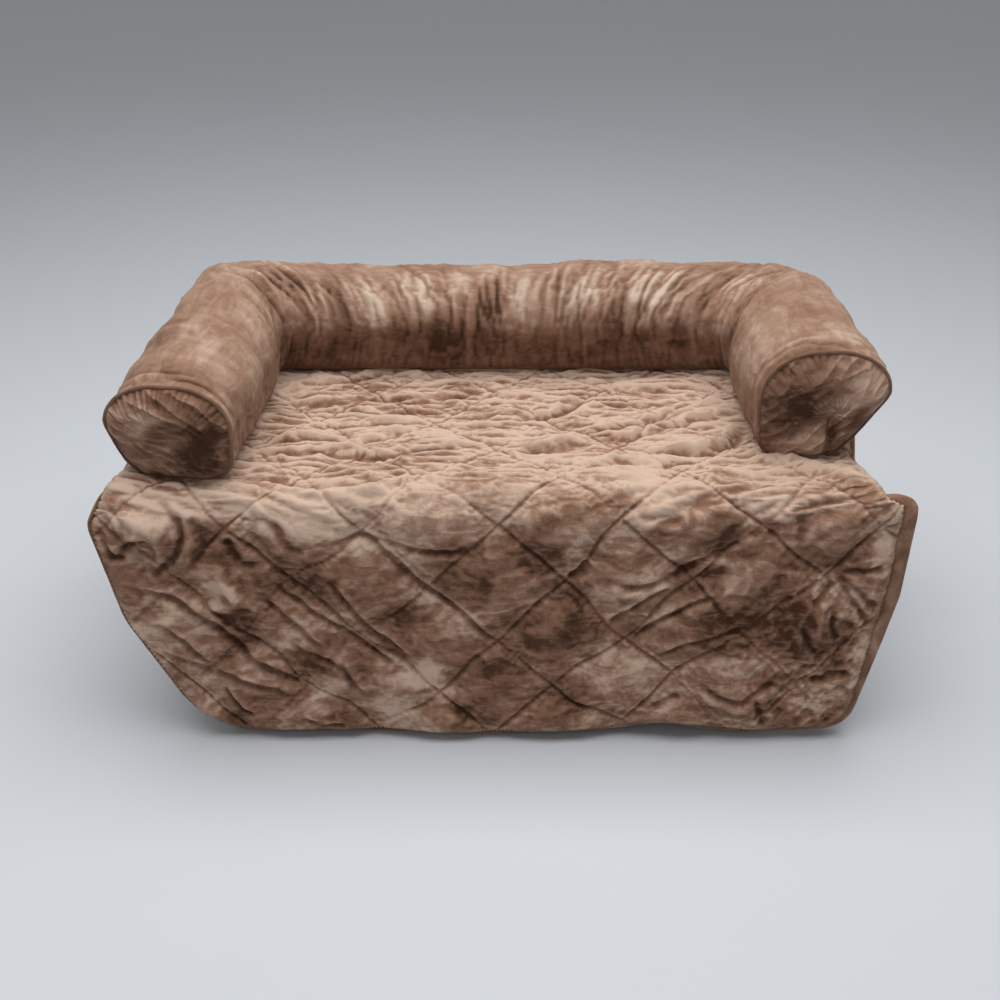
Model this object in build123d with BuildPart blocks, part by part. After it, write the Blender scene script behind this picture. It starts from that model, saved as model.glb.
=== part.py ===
from build123d import *
import math
import os

# A three-sided pet bed on a raised foam base. A quilted topper covers the seat, folds over the
# front edge and hangs to the floor as a flap, and a stuffed bolster runs round the back and both
# sides. X runs to the right as seen from the front, Y to the back, Z up, in millimetres.
# The origin is the middle of the base's underside.

# Base block and its cover: its top stands in from the topper's sides, and its foot further in
base_side_inset = 32.0
base_side_lean = 82.0
base_depth = 431.2
base_height = 328.0
base_cloth = 3.0
base_floor_cloth = 2.0
comfort_layer = 40.0

# Quilted topper
quilt_thick = 22.0
face_cloth = 3.0
backing_cloth = 2.0
fold_round = 45.0
topper_half_width = 460.0
topper_rear_overhang = 7.0
edge_band = 24.0
edge_round = 8.0
body_gap = 0.4

# Quilting: stitch lines at 45 degrees that cross at points one step apart
quilt_step = 75.0
quilt_cross_x = -8.0
quilt_cross_run = 84.0
channel_half = 34.0
channel_depth = 12.0
channel_shoulder = 13.0
channel_shoulder_depth = 5.5

# Front flap
hem_clear = 2.0
flap_shoulder = 18.0
flap_shoulder_drop = 20.0
flap_left_draw = 48.0
flap_right_draw = 33.0
flap_left_round = 165.0
flap_right_round = 48.0

# Bolster: each table goes along one length, and a row is the place as a share of that length, then
# the width and the height as shares of the bolster's own
bolster_overhang = 8.4
bolster_cloth = 3.0
low_round = 30.0
high_round = 60.0
left_corner_inset = 106.0
right_corner_inset = 89.0
bolster_wide = 144.0
bolster_high = 132.0
back_station_shares = [
    (-0.18, 1.0, 1.045),
    (0.14, 1.0, 1.0),
    (0.41, 1.0, 0.977),
    (0.67, 1.0, 1.03),
    (0.9, 1.0, 1.0),
    (1.17, 1.0, 0.962),
]
left_arm_splay = 39.0
left_arm_length = 342.0
left_arm_station_shares = [
    (-0.35, 1.0, 1.045),
    (0.175, 1.028, 1.023),
    (0.585, 1.083, 0.947),
    (1.0, 1.0625, 0.864),
]
right_arm_splay = 10.0
right_arm_length = 288.0
right_arm_station_shares = [
    (-0.42, 1.0, 0.962),
    (0.21, 1.042, 1.0),
    (0.625, 1.118, 1.023),
    (1.0, 1.104, 1.008),
]

# Round end caps and their piping
cap_rise = 11.0
cap_rise_inset = 8.0
cap_crown = 18.0
cap_crown_inset = 25.0
piping_radius = 3.5
piping_sink = 1.0

# Zips, one in the bolster's back and one low in the base's back
zip_tape_width = 26.0
zip_tape_thick = 1.2
zip_tape_gap = 3.0
zip_chain_core = 3.6
zip_chain_width = 6.4
zip_chain_thick = 1.8
zip_tooth = 2.2
zip_pitch = 5.0
zip_stop_length = 4.0
zip_stop_width = 8.0
zip_stop_thick = 2.6
zip_end_margin = 9.0
bolster_zip_inset = 82.5
bolster_zip_height = 49.0
base_zip_inset = 78.0
base_zip_height = 62.0

# Zip slider and its pull
slider_gap = 0.3
slider_length = 13.0
slider_width = 11.6
slider_plate = 1.6
slider_corner = 2.4
bail_post = 1.6
bail_post_width = 2.4
bail_span = 7.4
bail_radius = 0.9
bail_lift = 3.2
pull_bore_gap = 0.15
pull_knuckle_radius = 2.1
pull_length = 25.0
pull_thick = 1.5
pull_round = 2.0

# Worked out from the sizes above
base_top_width = 2 * (topper_half_width - base_side_inset)
base_foot_width = base_top_width - 2 * base_side_lean
flap_left_foot = topper_half_width - flap_left_draw
flap_right_foot = topper_half_width - flap_right_draw
left_corner_x = left_corner_inset - topper_half_width
right_corner_x = topper_half_width - right_corner_inset
bolster_zip_length = right_corner_x - left_corner_x - 2 * bolster_zip_inset
base_zip_length = base_top_width - 2 * base_zip_inset
seat_top = base_height + quilt_thick
flap_back_y = -(base_depth / 2 + body_gap)
flap_front_y = flap_back_y - quilt_thick
fold_y = flap_front_y + fold_round
fold_z = seat_top - fold_round
topper_rear_y = base_depth / 2 + topper_rear_overhang
bolster_rear_y = base_depth / 2 + bolster_overhang
bolster_mid_y = bolster_rear_y - bolster_wide / 2
face_half_width = topper_half_width - edge_band
face_rear_y = topper_rear_y - edge_band
base_front_round = fold_round - quilt_thick - body_gap
wadding_thick = quilt_thick - face_cloth - backing_cloth
fold_arc = fold_round * math.pi / 2


def keep(name, part):
    """Label a finished piece and write its file."""
    part.label = name
    export_step(part, f"parts/{name}.step")


# Quilting channels


def channelled_block(cross, normal, side, drop):
    """A block whose outer face has straight channels along one diagonal of the quilting.

    Channels pass through the crossing point and lie side by side, all along the block. The block
    lies on the inner side of the face, which is set in from the crossing point by drop.
    """
    across = Vector(1, 0, 0)
    line = (across + normal.cross(across) * side).normalized()
    spacing = quilt_step * math.sqrt(2)
    count = math.ceil(2 * topper_half_width / spacing)
    outline = []
    for index in range(-count, count + 1):
        middle = index * spacing
        outline += [
            (middle - channel_half, 0),
            (middle - channel_shoulder, -channel_shoulder_depth),
            (middle, -channel_depth),
            (middle + channel_shoulder, -channel_shoulder_depth),
            (middle + channel_half, 0),
        ]
    end = count * spacing + channel_half
    outline += [(end, -quilt_thick), (-end, -quilt_thick)]
    with BuildPart() as block:
        with BuildSketch(Plane(origin=cross - normal * drop, x_dir=normal.cross(line), z_dir=line)):
            with BuildLine():
                Polyline(*outline, close=True)
            make_face()
        extrude(amount=count * spacing, both=True)
    return block.part


seat_cross = Vector(quilt_cross_x, fold_y + quilt_cross_run, seat_top)
flap_cross_run = 4 * quilt_step - quilt_cross_run
flap_cross = Vector(quilt_cross_x, flap_front_y, fold_z - (flap_cross_run - fold_arc))
SEAT_NORMAL = Vector(0, 0, 1)
FLAP_NORMAL = Vector(0, -1, 0)


# Base block: a firm foam core, a softer layer on it, and a six-panel cover


def base_block(side_inset, end_inset):
    """The base, its sides leaning in towards the floor and its front top edge rounded."""
    low_y = -base_depth / 2 + end_inset
    high_y = base_depth / 2 - end_inset
    half_foot = base_foot_width / 2 - side_inset
    half_top = base_top_width / 2 - side_inset
    with BuildPart() as block:
        with BuildSketch(Plane.YZ):
            with BuildLine():
                FilletPolyline(
                    (low_y, base_floor_cloth),
                    (high_y, base_floor_cloth),
                    (high_y, base_height - end_inset),
                    (low_y, base_height - end_inset),
                    radius=[0, 0, 0, base_front_round - end_inset],
                    close=True,
                )
            make_face()
        extrude(amount=base_top_width, both=True)
        with BuildSketch(Plane.XZ):
            with BuildLine():
                Polyline(
                    (-half_foot, 0),
                    (half_foot, 0),
                    (half_top, base_height),
                    (-half_top, base_height),
                    close=True,
                )
            make_face()
        extrude(amount=base_depth, both=True, mode=Mode.INTERSECT)
    return block.part


foam_split_z = base_height - base_cloth - comfort_layer
base_whole = base_block(0, 0)
base_between_sides = base_block(base_cloth, 0)
foam_block = base_block(base_cloth, base_cloth)

with BuildPart() as base_foam_core:
    add(foam_block)
    split(bisect_by=Plane.XY.offset(foam_split_z), keep=Keep.BOTTOM)

with BuildPart() as base_comfort_foam:
    add(foam_block)
    split(bisect_by=Plane.XY.offset(foam_split_z), keep=Keep.TOP)

with BuildPart() as cover_sleeve:
    add(base_between_sides)
    add(foam_block, mode=Mode.SUBTRACT)

with BuildPart() as base_front_panel:
    add(cover_sleeve.part)
    split(bisect_by=Plane.XZ.offset(-fold_y), keep=Keep.TOP)

with BuildPart() as base_top_panel:
    add(cover_sleeve.part)
    split(bisect_by=Plane.XZ.offset(-fold_y), keep=Keep.BOTTOM)
    split(bisect_by=Plane.XY.offset(base_height - base_cloth), keep=Keep.TOP)

with BuildPart() as base_rear_panel:
    add(cover_sleeve.part)
    split(bisect_by=Plane.XZ.offset(-fold_y), keep=Keep.BOTTOM)
    split(bisect_by=Plane.XY.offset(base_height - base_cloth), keep=Keep.BOTTOM)

with BuildPart() as base_bottom_panel:
    with BuildSketch():
        Rectangle(base_foot_width, base_depth)
    extrude(amount=base_floor_cloth)


def base_side_panel(keep_side):
    """One sloping side panel of the base's cover."""
    with BuildPart() as panel:
        add(base_whole)
        add(base_between_sides, mode=Mode.SUBTRACT)
        split(bisect_by=Plane.YZ, keep=keep_side)
    return panel.part


# Topper over the seat: plush face, wadding and backing, quilted together, in an edge band


def seat_layer(bottom, top):
    """A flat layer of the seat quilt between two heights."""
    with BuildPart() as layer:
        with BuildSketch(Plane.XY.offset(bottom)):
            with Locations((0, (fold_y + face_rear_y) / 2)):
                Rectangle(2 * face_half_width, face_rear_y - fold_y)
        extrude(amount=top - bottom)
    return layer.part


def quilted_seat(drop):
    """The seat quilt above its backing, with its channelled face set in by drop."""
    with BuildPart() as quilt:
        add(seat_layer(base_height + backing_cloth, seat_top - drop))
        for side in (-1, 1):
            add(channelled_block(seat_cross, SEAT_NORMAL, side, drop), mode=Mode.INTERSECT)
    return quilt.part


seat_backing = seat_layer(base_height, base_height + backing_cloth)
seat_wadding = quilted_seat(face_cloth)

with BuildPart() as seat_face:
    add(quilted_seat(0))
    add(seat_wadding, mode=Mode.SUBTRACT)


def seat_side_band(side):
    """The band along one side of the seat, its outer edge rounded."""
    with BuildPart() as band:
        with BuildSketch(Plane.XY.offset(base_height)):
            with Locations((side * (face_half_width + edge_band / 2), (fold_y + topper_rear_y) / 2)):
                Rectangle(edge_band, topper_rear_y - fold_y)
        extrude(amount=quilt_thick)
        outer = band.edges().filter_by(Axis.Y).group_by(Axis.X)[-1 if side > 0 else 0]
        fillet(outer, edge_round)
    return band.part


with BuildPart() as seat_edge_rear:
    with BuildSketch(Plane.XY.offset(base_height)):
        with Locations((0, topper_rear_y - edge_band / 2)):
            Rectangle(2 * face_half_width, edge_band)
    extrude(amount=quilt_thick)
    fillet(seat_edge_rear.edges().filter_by(Axis.X).group_by(Axis.Y)[-1], edge_round)


# The fold over the front edge: the same layers, bent round a quarter turn


def fold_layer(inner, outer, low_x, high_x):
    """A quarter turn of the topper between two radii."""
    with BuildPart() as layer:
        with BuildSketch(Plane.YZ.offset(low_x)):
            with BuildLine():
                CenterArc((fold_y, fold_z), outer, 90, 90)
                Line((fold_y - outer, fold_z), (fold_y - inner, fold_z))
                CenterArc((fold_y, fold_z), inner, 90, 90)
                Line((fold_y, fold_z + inner), (fold_y, fold_z + outer))
            make_face()
        extrude(amount=high_x - low_x)
    return layer.part


backing_radius = fold_round - quilt_thick + backing_cloth
face_radius = fold_round - face_cloth
fold_backing = fold_layer(
    fold_round - quilt_thick, backing_radius, -face_half_width, face_half_width
)
fold_wadding = fold_layer(backing_radius, face_radius, -face_half_width, face_half_width)
fold_face = fold_layer(face_radius, fold_round, -face_half_width, face_half_width)


def fold_side_band(side):
    """The edge band where it turns down with the fold, its outer edges rounded."""
    low_x = min(side * face_half_width, side * topper_half_width)
    with BuildPart() as band:
        add(fold_layer(fold_round - quilt_thick, fold_round, low_x, low_x + edge_band))
        arcs = band.edges().filter_by(GeomType.CIRCLE).group_by(Axis.X)[-1 if side > 0 else 0]
        fillet(arcs, edge_round)
    return band.part


# The front flap, hanging to just above the floor


def flap_outline(inset):
    """The flap from the front: it swells below the fold, then narrows to its rounded hem."""
    rise = inset + edge_round
    with BuildSketch(Plane.XZ) as outline:
        with BuildLine():
            FilletPolyline(
                (-topper_half_width, fold_z + rise),
                (topper_half_width, fold_z + rise),
                (topper_half_width, fold_z),
                (topper_half_width + flap_shoulder, fold_z - flap_shoulder_drop),
                (flap_right_foot, hem_clear),
                (-flap_left_foot, hem_clear),
                (-topper_half_width - flap_shoulder, fold_z - flap_shoulder_drop),
                (-topper_half_width, fold_z),
                radius=[0, 0, 0, edge_round, flap_right_round, flap_left_round, edge_round, 0],
                close=True,
            )
        make_face()
        if inset:
            offset(amount=-inset, kind=Kind.INTERSECTION, mode=Mode.REPLACE)
        with Locations((0, fold_z + quilt_step)):
            Rectangle(4 * topper_half_width, 2 * quilt_step, mode=Mode.SUBTRACT)
    return outline.sketch


flap_whole = flap_outline(0)
flap_inside = flap_outline(edge_band)


def flap_layer(outline, depth, thick):
    """One flat layer of the flap, a depth in front of its back."""
    with BuildPart() as layer:
        with BuildSketch(Plane.XZ.offset(depth - flap_back_y)):
            add(outline)
        extrude(amount=thick)
    return layer.part


def quilted_flap(drop):
    """The flap quilt in front of its backing, with its channelled face set in by drop."""
    with BuildPart() as quilt:
        add(flap_layer(flap_inside, backing_cloth, quilt_thick - backing_cloth - drop))
        for side in (-1, 1):
            add(channelled_block(flap_cross, FLAP_NORMAL, side, drop), mode=Mode.INTERSECT)
    return quilt.part


flap_backing = flap_layer(flap_inside, 0, backing_cloth)
flap_wadding = quilted_flap(face_cloth)

with BuildPart() as flap_face:
    add(quilted_flap(0))
    add(flap_wadding, mode=Mode.SUBTRACT)

with BuildPart() as flap_band:
    add(flap_layer(flap_whole, 0, quilt_thick))
    outer_edges = []
    for front in (0, -1):
        face = flap_band.faces().filter_by(Axis.Y).sort_by(Axis.Y)[front]
        outer_edges += [e for e in face.outer_wire().edges() if e.center().Z < fold_z - edge_round]
    fillet(outer_edges, edge_round)
    add(flap_layer(flap_inside, 0, quilt_thick), mode=Mode.SUBTRACT)


def flap_band_piece(side):
    """The upright stretch of the flap's band on one side, above its rounded corner."""
    corner = flap_right_round if side > 0 else flap_left_round
    with BuildPart() as piece:
        add(flap_band.part)
        split(bisect_by=Plane.XY.offset(hem_clear + corner), keep=Keep.TOP)
        split(bisect_by=Plane.YZ, keep=Keep.TOP if side > 0 else Keep.BOTTOM)
    return piece.part


flap_edge_left = flap_band_piece(-1)
flap_edge_right = flap_band_piece(1)

with BuildPart() as flap_hem:
    add(flap_band.part)
    add(flap_edge_left, mode=Mode.SUBTRACT)
    add(flap_edge_right, mode=Mode.SUBTRACT)


# Bolster: a stuffed roll, flat where it rests on the seat, in three mitred lengths


def bolster_outline(width, height, inset):
    """The roll's cross-section, drawn from the seat up."""
    half = width / 2 - inset
    low = low_round - inset
    high = high_round - inset
    FilletPolyline(
        (-half, inset),
        (half, inset),
        (half, height - inset),
        (-half, height - inset),
        radius=[low, low, high, high],
        close=True,
    )


def back_roll(inset):
    """The back length, its rear face kept upright for the zip."""
    with BuildPart() as roll:
        for place_share, width_share, height_share in back_station_shares:
            width = bolster_wide * width_share
            height = bolster_high * height_share
            place = left_corner_x + (right_corner_x - left_corner_x) * place_share
            middle = Vector(place, bolster_rear_y - width / 2, seat_top)
            with BuildSketch(Plane(origin=middle, x_dir=(0, 1, 0), z_dir=(1, 0, 0))):
                with BuildLine():
                    bolster_outline(width, height, inset)
                make_face()
        loft()
        for side in (-1, 1):
            split(bisect_by=mitre_plane(side), keep=Keep.TOP)
    return roll.part


def arm_corner(side):
    """Where an arm's middle line meets the back length's."""
    return Vector(right_corner_x if side > 0 else left_corner_x, bolster_mid_y, seat_top)


def arm_line(side):
    """The way an arm points, forward and a little outward."""
    splay = right_arm_splay if side > 0 else left_arm_splay
    length = right_arm_length if side > 0 else left_arm_length
    forward = math.sqrt(length**2 - splay**2)
    return Vector(side * splay, -forward, 0).normalized()


def mitre_plane(side):
    """The upright plane that halves the corner, facing the back length."""
    return Plane(origin=arm_corner(side), z_dir=Vector(-side, 0, 0) - arm_line(side))


def arm_plane(side, place):
    """The plane across an arm, a distance from its corner."""
    line = arm_line(side)
    return Plane(origin=arm_corner(side) + line * place, x_dir=SEAT_NORMAL.cross(line), z_dir=line)


def arm_stations(side):
    """An arm's stations, rear to front, each with its place, width and height."""
    length = right_arm_length if side > 0 else left_arm_length
    shares = right_arm_station_shares if side > 0 else left_arm_station_shares
    return [(length * p, bolster_wide * w, bolster_high * h) for p, w, h in shares]


def arm_roll(side, inset):
    """One arm, cut at its mitre and square at its front."""
    with BuildPart() as roll:
        for place, width, height in arm_stations(side):
            with BuildSketch(arm_plane(side, place)):
                with BuildLine():
                    bolster_outline(width, height, inset)
                make_face()
        loft()
        split(bisect_by=mitre_plane(side), keep=Keep.BOTTOM)
    return roll.part


def cap_dome(side, inset):
    """The crowned front end of an arm."""
    place, width, height = arm_stations(side)[-1]
    with BuildPart() as dome:
        for rise, shrink in ((0, 0), (cap_rise, cap_rise_inset), (cap_crown, cap_crown_inset)):
            depth = rise - inset if rise else 0
            with BuildSketch(arm_plane(side, place + depth)):
                with BuildLine():
                    bolster_outline(width, height, inset + shrink)
                make_face()
        loft(ruled=True)
    return dome.part


def cap_piping(side):
    """The piped seam round an arm's front end."""
    place, width, height = arm_stations(side)[-1]
    face = arm_plane(side, place)
    lift = piping_radius + piping_sink
    with BuildPart() as piping:
        with BuildLine(face) as seam:
            half = width / 2 - piping_sink
            FilletPolyline(
                (-half, lift),
                (half, lift),
                (half, height - piping_sink),
                (-half, height - piping_sink),
                radius=[low_round, low_round, high_round, high_round],
                close=True,
            )
        path = seam.wires()[0]
        with BuildSketch(Plane(origin=path @ 0, z_dir=path % 0)):
            Circle(piping_radius)
        sweep(path=path)
    return piping.part


bolster_back_fill = back_roll(bolster_cloth)

with BuildPart() as bolster_back_cover:
    add(back_roll(0))
    add(bolster_back_fill, mode=Mode.SUBTRACT)


def arm_pieces(side):
    """An arm's fill, cover, end cap and piping."""
    piping = cap_piping(side)
    with BuildPart() as fill:
        add(arm_roll(side, bolster_cloth))
        add(cap_dome(side, bolster_cloth))
    with BuildPart() as cover:
        add(arm_roll(side, 0))
        add(fill.part, mode=Mode.SUBTRACT)
        add(piping, mode=Mode.SUBTRACT)
    with BuildPart() as cap:
        add(cap_dome(side, 0))
        add(fill.part, mode=Mode.SUBTRACT)
        add(piping, mode=Mode.SUBTRACT)
    with BuildPart() as seated_fill:
        add(fill.part)
        add(piping, mode=Mode.SUBTRACT)
    return {"fill": seated_fill.part, "cover": cover.part, "end_cap": cap.part, "piping": piping}


# Zips: two tapes, a chain of teeth, end stops, a slider and its hinged pull


def zip_plane(rear_y, height, lift):
    """A plane facing the back, on the zip's middle line, with its own X to the left."""
    return Plane(origin=(0, rear_y + lift, height), x_dir=(-1, 0, 0), z_dir=(0, 1, 0))


def zip_tape(rear_y, height, length):
    """The two cloth tapes, one each side of the chain."""
    strip = (zip_tape_width - zip_tape_gap) / 2
    with BuildPart() as tape:
        with BuildSketch(zip_plane(rear_y, height, 0)):
            with GridLocations(0, strip + zip_tape_gap, 1, 2):
                Rectangle(length, strip)
        extrude(amount=zip_tape_thick)
    return tape.part


def zip_teeth(rear_y, height, length):
    """The closed chain, a core with a tooth at each pitch."""
    chain = length - 2 * zip_end_margin
    count = int((chain - zip_tooth) / zip_pitch)
    with BuildPart() as teeth:
        with BuildSketch(zip_plane(rear_y, height, zip_tape_thick)):
            Rectangle(chain, zip_chain_core)
            with GridLocations(zip_pitch, 0, count, 1):
                Rectangle(zip_tooth, zip_chain_width)
        extrude(amount=zip_chain_thick)
    return teeth.part


def zip_stops(rear_y, height, length):
    """The stop at each end of the chain."""
    apart = length - 2 * zip_end_margin + zip_stop_length
    with BuildPart() as stops:
        with BuildSketch(zip_plane(rear_y, height, zip_tape_thick)):
            with GridLocations(apart, 0, 2, 1):
                Rectangle(zip_stop_length, zip_stop_width)
        extrude(amount=zip_stop_thick)
    return stops.part


plate_lift = zip_tape_thick + zip_chain_thick + slider_gap
bail_axis_lift = plate_lift + slider_plate + bail_lift


def slider_x(length):
    """The slider's place, closed against the stop at the zip's right end."""
    return length / 2 - zip_end_margin - slider_length / 2 - slider_gap


def zip_slider(rear_y, height, length):
    """A plate over the chain with a flange down each side, and the bail that holds the pull."""
    place = -slider_x(length)
    flange = (slider_width - zip_chain_width) / 2 - slider_gap
    with BuildPart() as slider:
        with BuildSketch(zip_plane(rear_y, height, plate_lift)):
            with Locations((place, 0)):
                RectangleRounded(slider_length, slider_width, slider_corner)
        extrude(amount=slider_plate)
        with BuildSketch(zip_plane(rear_y, height, zip_tape_thick + slider_gap)):
            with Locations((place, 0)):
                with GridLocations(0, slider_width - flange, 1, 2):
                    Rectangle(slider_length - 2 * slider_corner, flange)
        extrude(amount=plate_lift - zip_tape_thick - slider_gap)
        with BuildSketch(zip_plane(rear_y, height, plate_lift + slider_plate)):
            with Locations((place, 0)):
                with GridLocations(bail_span, 0, 2, 1):
                    Rectangle(bail_post, bail_post_width)
        extrude(amount=bail_lift + bail_radius)
        bail_end = -place - bail_span / 2
        with BuildSketch(Plane.YZ.offset(bail_end)):
            with Locations((rear_y + bail_axis_lift, height)):
                Circle(bail_radius)
        extrude(amount=bail_span)
    return slider.part


def zip_pull(rear_y, height, length):
    """The pull: a knuckle round the bail and a flat tab hanging from it."""
    knuckle = bail_span - bail_post - 2 * slider_gap
    middle = slider_x(length)
    axis_y = rear_y + bail_axis_lift
    with BuildPart() as pull:
        with BuildSketch(Plane.YZ.offset(middle - knuckle / 2)):
            with Locations((axis_y, height)):
                Circle(pull_knuckle_radius)
        extrude(amount=knuckle)
        with BuildSketch(Plane.XZ.offset(-axis_y - pull_thick / 2)):
            with Locations((middle, height - pull_length / 2)):
                Rectangle(knuckle, pull_length)
        extrude(amount=pull_thick)
        ends = pull.edges().filter_by(Axis.Y).group_by(Axis.Z)[0]
        fillet(ends, pull_round)
        with BuildSketch(Plane.YZ.offset(middle - knuckle / 2)):
            with Locations((axis_y, height)):
                Circle(bail_radius + pull_bore_gap)
        extrude(amount=knuckle, mode=Mode.SUBTRACT)
    return pull.part


# The finished pieces

os.makedirs("parts", exist_ok=True)

keep("base_foam_core", base_foam_core.part)
keep("base_comfort_foam", base_comfort_foam.part)
keep("base_top_panel", base_top_panel.part)
keep("base_front_panel", base_front_panel.part)
keep("base_rear_panel", base_rear_panel.part)
keep("base_left_panel", base_side_panel(Keep.BOTTOM))
keep("base_right_panel", base_side_panel(Keep.TOP))
keep("base_bottom_panel", base_bottom_panel.part)

keep("seat_face", seat_face.part)
keep("seat_wadding", seat_wadding)
keep("seat_backing", seat_backing)
keep("seat_edge_left", seat_side_band(-1))
keep("seat_edge_right", seat_side_band(1))
keep("seat_edge_rear", seat_edge_rear.part)

keep("fold_face", fold_face)
keep("fold_wadding", fold_wadding)
keep("fold_backing", fold_backing)
keep("fold_edge_left", fold_side_band(-1))
keep("fold_edge_right", fold_side_band(1))

keep("flap_face", flap_face.part)
keep("flap_wadding", flap_wadding)
keep("flap_backing", flap_backing)
keep("flap_edge_left", flap_edge_left)
keep("flap_edge_right", flap_edge_right)
keep("flap_hem", flap_hem.part)

keep("bolster_back_cover", bolster_back_cover.part)
keep("bolster_back_fill", bolster_back_fill)
for arm, side in (("left_arm", -1), ("right_arm", 1)):
    for piece, part in arm_pieces(side).items():
        keep(f"{arm}_{piece}", part)

zips = (
    ("bolster_zip", bolster_rear_y, seat_top + bolster_zip_height, bolster_zip_length),
    ("base_zip", base_depth / 2, base_zip_height, base_zip_length),
)
for name, rear_y, height, length in zips:
    keep(f"{name}_tape", zip_tape(rear_y, height, length))
    keep(f"{name}_teeth", zip_teeth(rear_y, height, length))
    keep(f"{name}_stops", zip_stops(rear_y, height, length))
    keep(f"{name}_slider", zip_slider(rear_y, height, length))
    keep(f"{name}_pull", zip_pull(rear_y, height, length))
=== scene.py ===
import math
import bmesh
import bpy
import numpy as np
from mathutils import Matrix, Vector


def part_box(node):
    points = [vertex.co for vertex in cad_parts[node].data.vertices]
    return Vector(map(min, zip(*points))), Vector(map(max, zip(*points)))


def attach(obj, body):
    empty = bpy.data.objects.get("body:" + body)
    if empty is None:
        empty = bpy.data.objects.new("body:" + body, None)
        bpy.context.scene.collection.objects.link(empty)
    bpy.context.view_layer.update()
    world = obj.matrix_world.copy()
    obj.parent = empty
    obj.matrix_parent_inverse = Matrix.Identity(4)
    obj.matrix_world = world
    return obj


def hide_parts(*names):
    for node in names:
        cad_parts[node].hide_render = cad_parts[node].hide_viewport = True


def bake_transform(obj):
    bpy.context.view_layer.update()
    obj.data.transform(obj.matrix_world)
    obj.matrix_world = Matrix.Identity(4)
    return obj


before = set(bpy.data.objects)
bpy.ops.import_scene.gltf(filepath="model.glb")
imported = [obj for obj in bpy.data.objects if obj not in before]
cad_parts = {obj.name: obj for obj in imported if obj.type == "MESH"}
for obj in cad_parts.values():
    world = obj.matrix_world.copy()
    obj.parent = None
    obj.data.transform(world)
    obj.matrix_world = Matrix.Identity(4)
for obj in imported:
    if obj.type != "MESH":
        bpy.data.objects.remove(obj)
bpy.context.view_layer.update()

bl_info = {
    "name": "Quilted pet bed",
    "version": (1, 0, 0),
    "blender": (4, 5, 0),
    "location": "View3D > Sidebar > Pet bed",
    "description": "Dresses the packed pet bed: quilted plush topper, stuffed bolster, base cover and zips",
    "category": "Add Mesh",
}

# Places read from the frame
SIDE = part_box("seat_edge_right")[1].x
REAR_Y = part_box("seat_edge_rear")[1].y
SEAT_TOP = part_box("seat_edge_rear")[1].z
THICK = SEAT_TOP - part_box("seat_backing")[0].z
FOLD_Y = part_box("fold_face")[1].y
FOLD_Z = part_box("fold_face")[0].z
FOLD_ROUND = FOLD_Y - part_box("fold_face")[0].y
HEM_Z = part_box("flap_hem")[0].z
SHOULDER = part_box("flap_edge_right")[1].x
ROLL_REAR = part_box("bolster_back_cover")[1].y
FOLD_ARC = FOLD_ROUND * math.pi / 2
REAR_RUN = FOLD_Y - REAR_Y
HEM_RUN = FOLD_ARC + FOLD_Z - HEM_Z

# Heights over the topper's underside: both faces of the backing, and the quilt's underside
BACKING_LOW, BACKING_HIGH, QUILT_LOW = 0.0004, 0.0019, 0.0024
# The furthest that the cloth stands over the topper's underside, and how softly it comes to that
PROUD, PROUD_EASE = THICK + 0.021, 0.0015

# The camera that the photograph fits
IMAGE_SIZE = 1000
FOCAL_PX = 1300
CAMERA_PLACE = Vector((0, -1.536, 1.078))
CAMERA_PITCH = math.radians(29.5)

# The whole numbers that turn a place in the noise's grid into an even spread of numbers
SPREAD_X, SPREAD_Y, SPREAD_SEED, SPREAD_MIX = 374761393, 668265263, 974634777, 1274126177
LOW_BITS = 0xFFFFFFFF
# Further than any two points of the cloth lie apart
FAR = 9.0


def noise(x, y, seed):
    """Smooth gradient noise over a plane, from about -1 to 1."""
    xi, yi = np.floor(x).astype(np.int64), np.floor(y).astype(np.int64)
    fx, fy = x - xi, y - yi
    ux, uy = (f * f * f * (f * (f * 6 - 15) + 10) for f in (fx, fy))

    def corner(dx, dy):
        n = ((xi + dx) * SPREAD_X + (yi + dy) * SPREAD_Y + seed * SPREAD_SEED) & LOW_BITS
        n = ((n ^ (n >> 13)) * SPREAD_MIX) & LOW_BITS
        turn = ((n ^ (n >> 16)) & 0xFFFF) / 0x10000 * 2 * math.pi
        return np.cos(turn) * (fx - dx) + np.sin(turn) * (fy - dy)

    low = corner(0, 0) * (1 - ux) + corner(1, 0) * ux
    high = corner(0, 1) * (1 - ux) + corner(1, 1) * ux
    return 1.5 * (low * (1 - uy) + high * uy)


def layered(x, y, seed, octaves=3):
    """Noise with finer layers on it."""
    total = np.zeros(np.broadcast(x, y).shape)
    for k in range(octaves):
        total += noise(x * 2**k, y * 2**k, seed + k) / 2**k
    return total / 1.6


def creases(x, y, seed):
    """Sharp-crested wrinkles: 1 on a crest, falling to about 0 between."""
    return (1 - np.abs(noise(x, y, seed))) ** 3


def puffs(x, y, seed):
    """Round puffs with sharp creases between them: 0 in a crease, up to about 1 on a puff."""
    return np.sqrt(np.abs(noise(x, y, seed)))


def smooth(low, high, value):
    """0 below low, 1 above high, and a smooth step between."""
    t = np.clip((value - low) / (high - low), 0, 1)
    return t * t * (3 - 2 * t)


def window(low, rise, fall, high, value):
    """1 from rise to fall, and a smooth step down to 0 at low and at high."""
    return smooth(low, rise, value) * (1 - smooth(fall, high, value))


def bell(value, middle, wide):
    """1 at the middle, falling away evenly on both sides."""
    return np.exp(-(((value - middle) / wide) ** 2))


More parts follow.
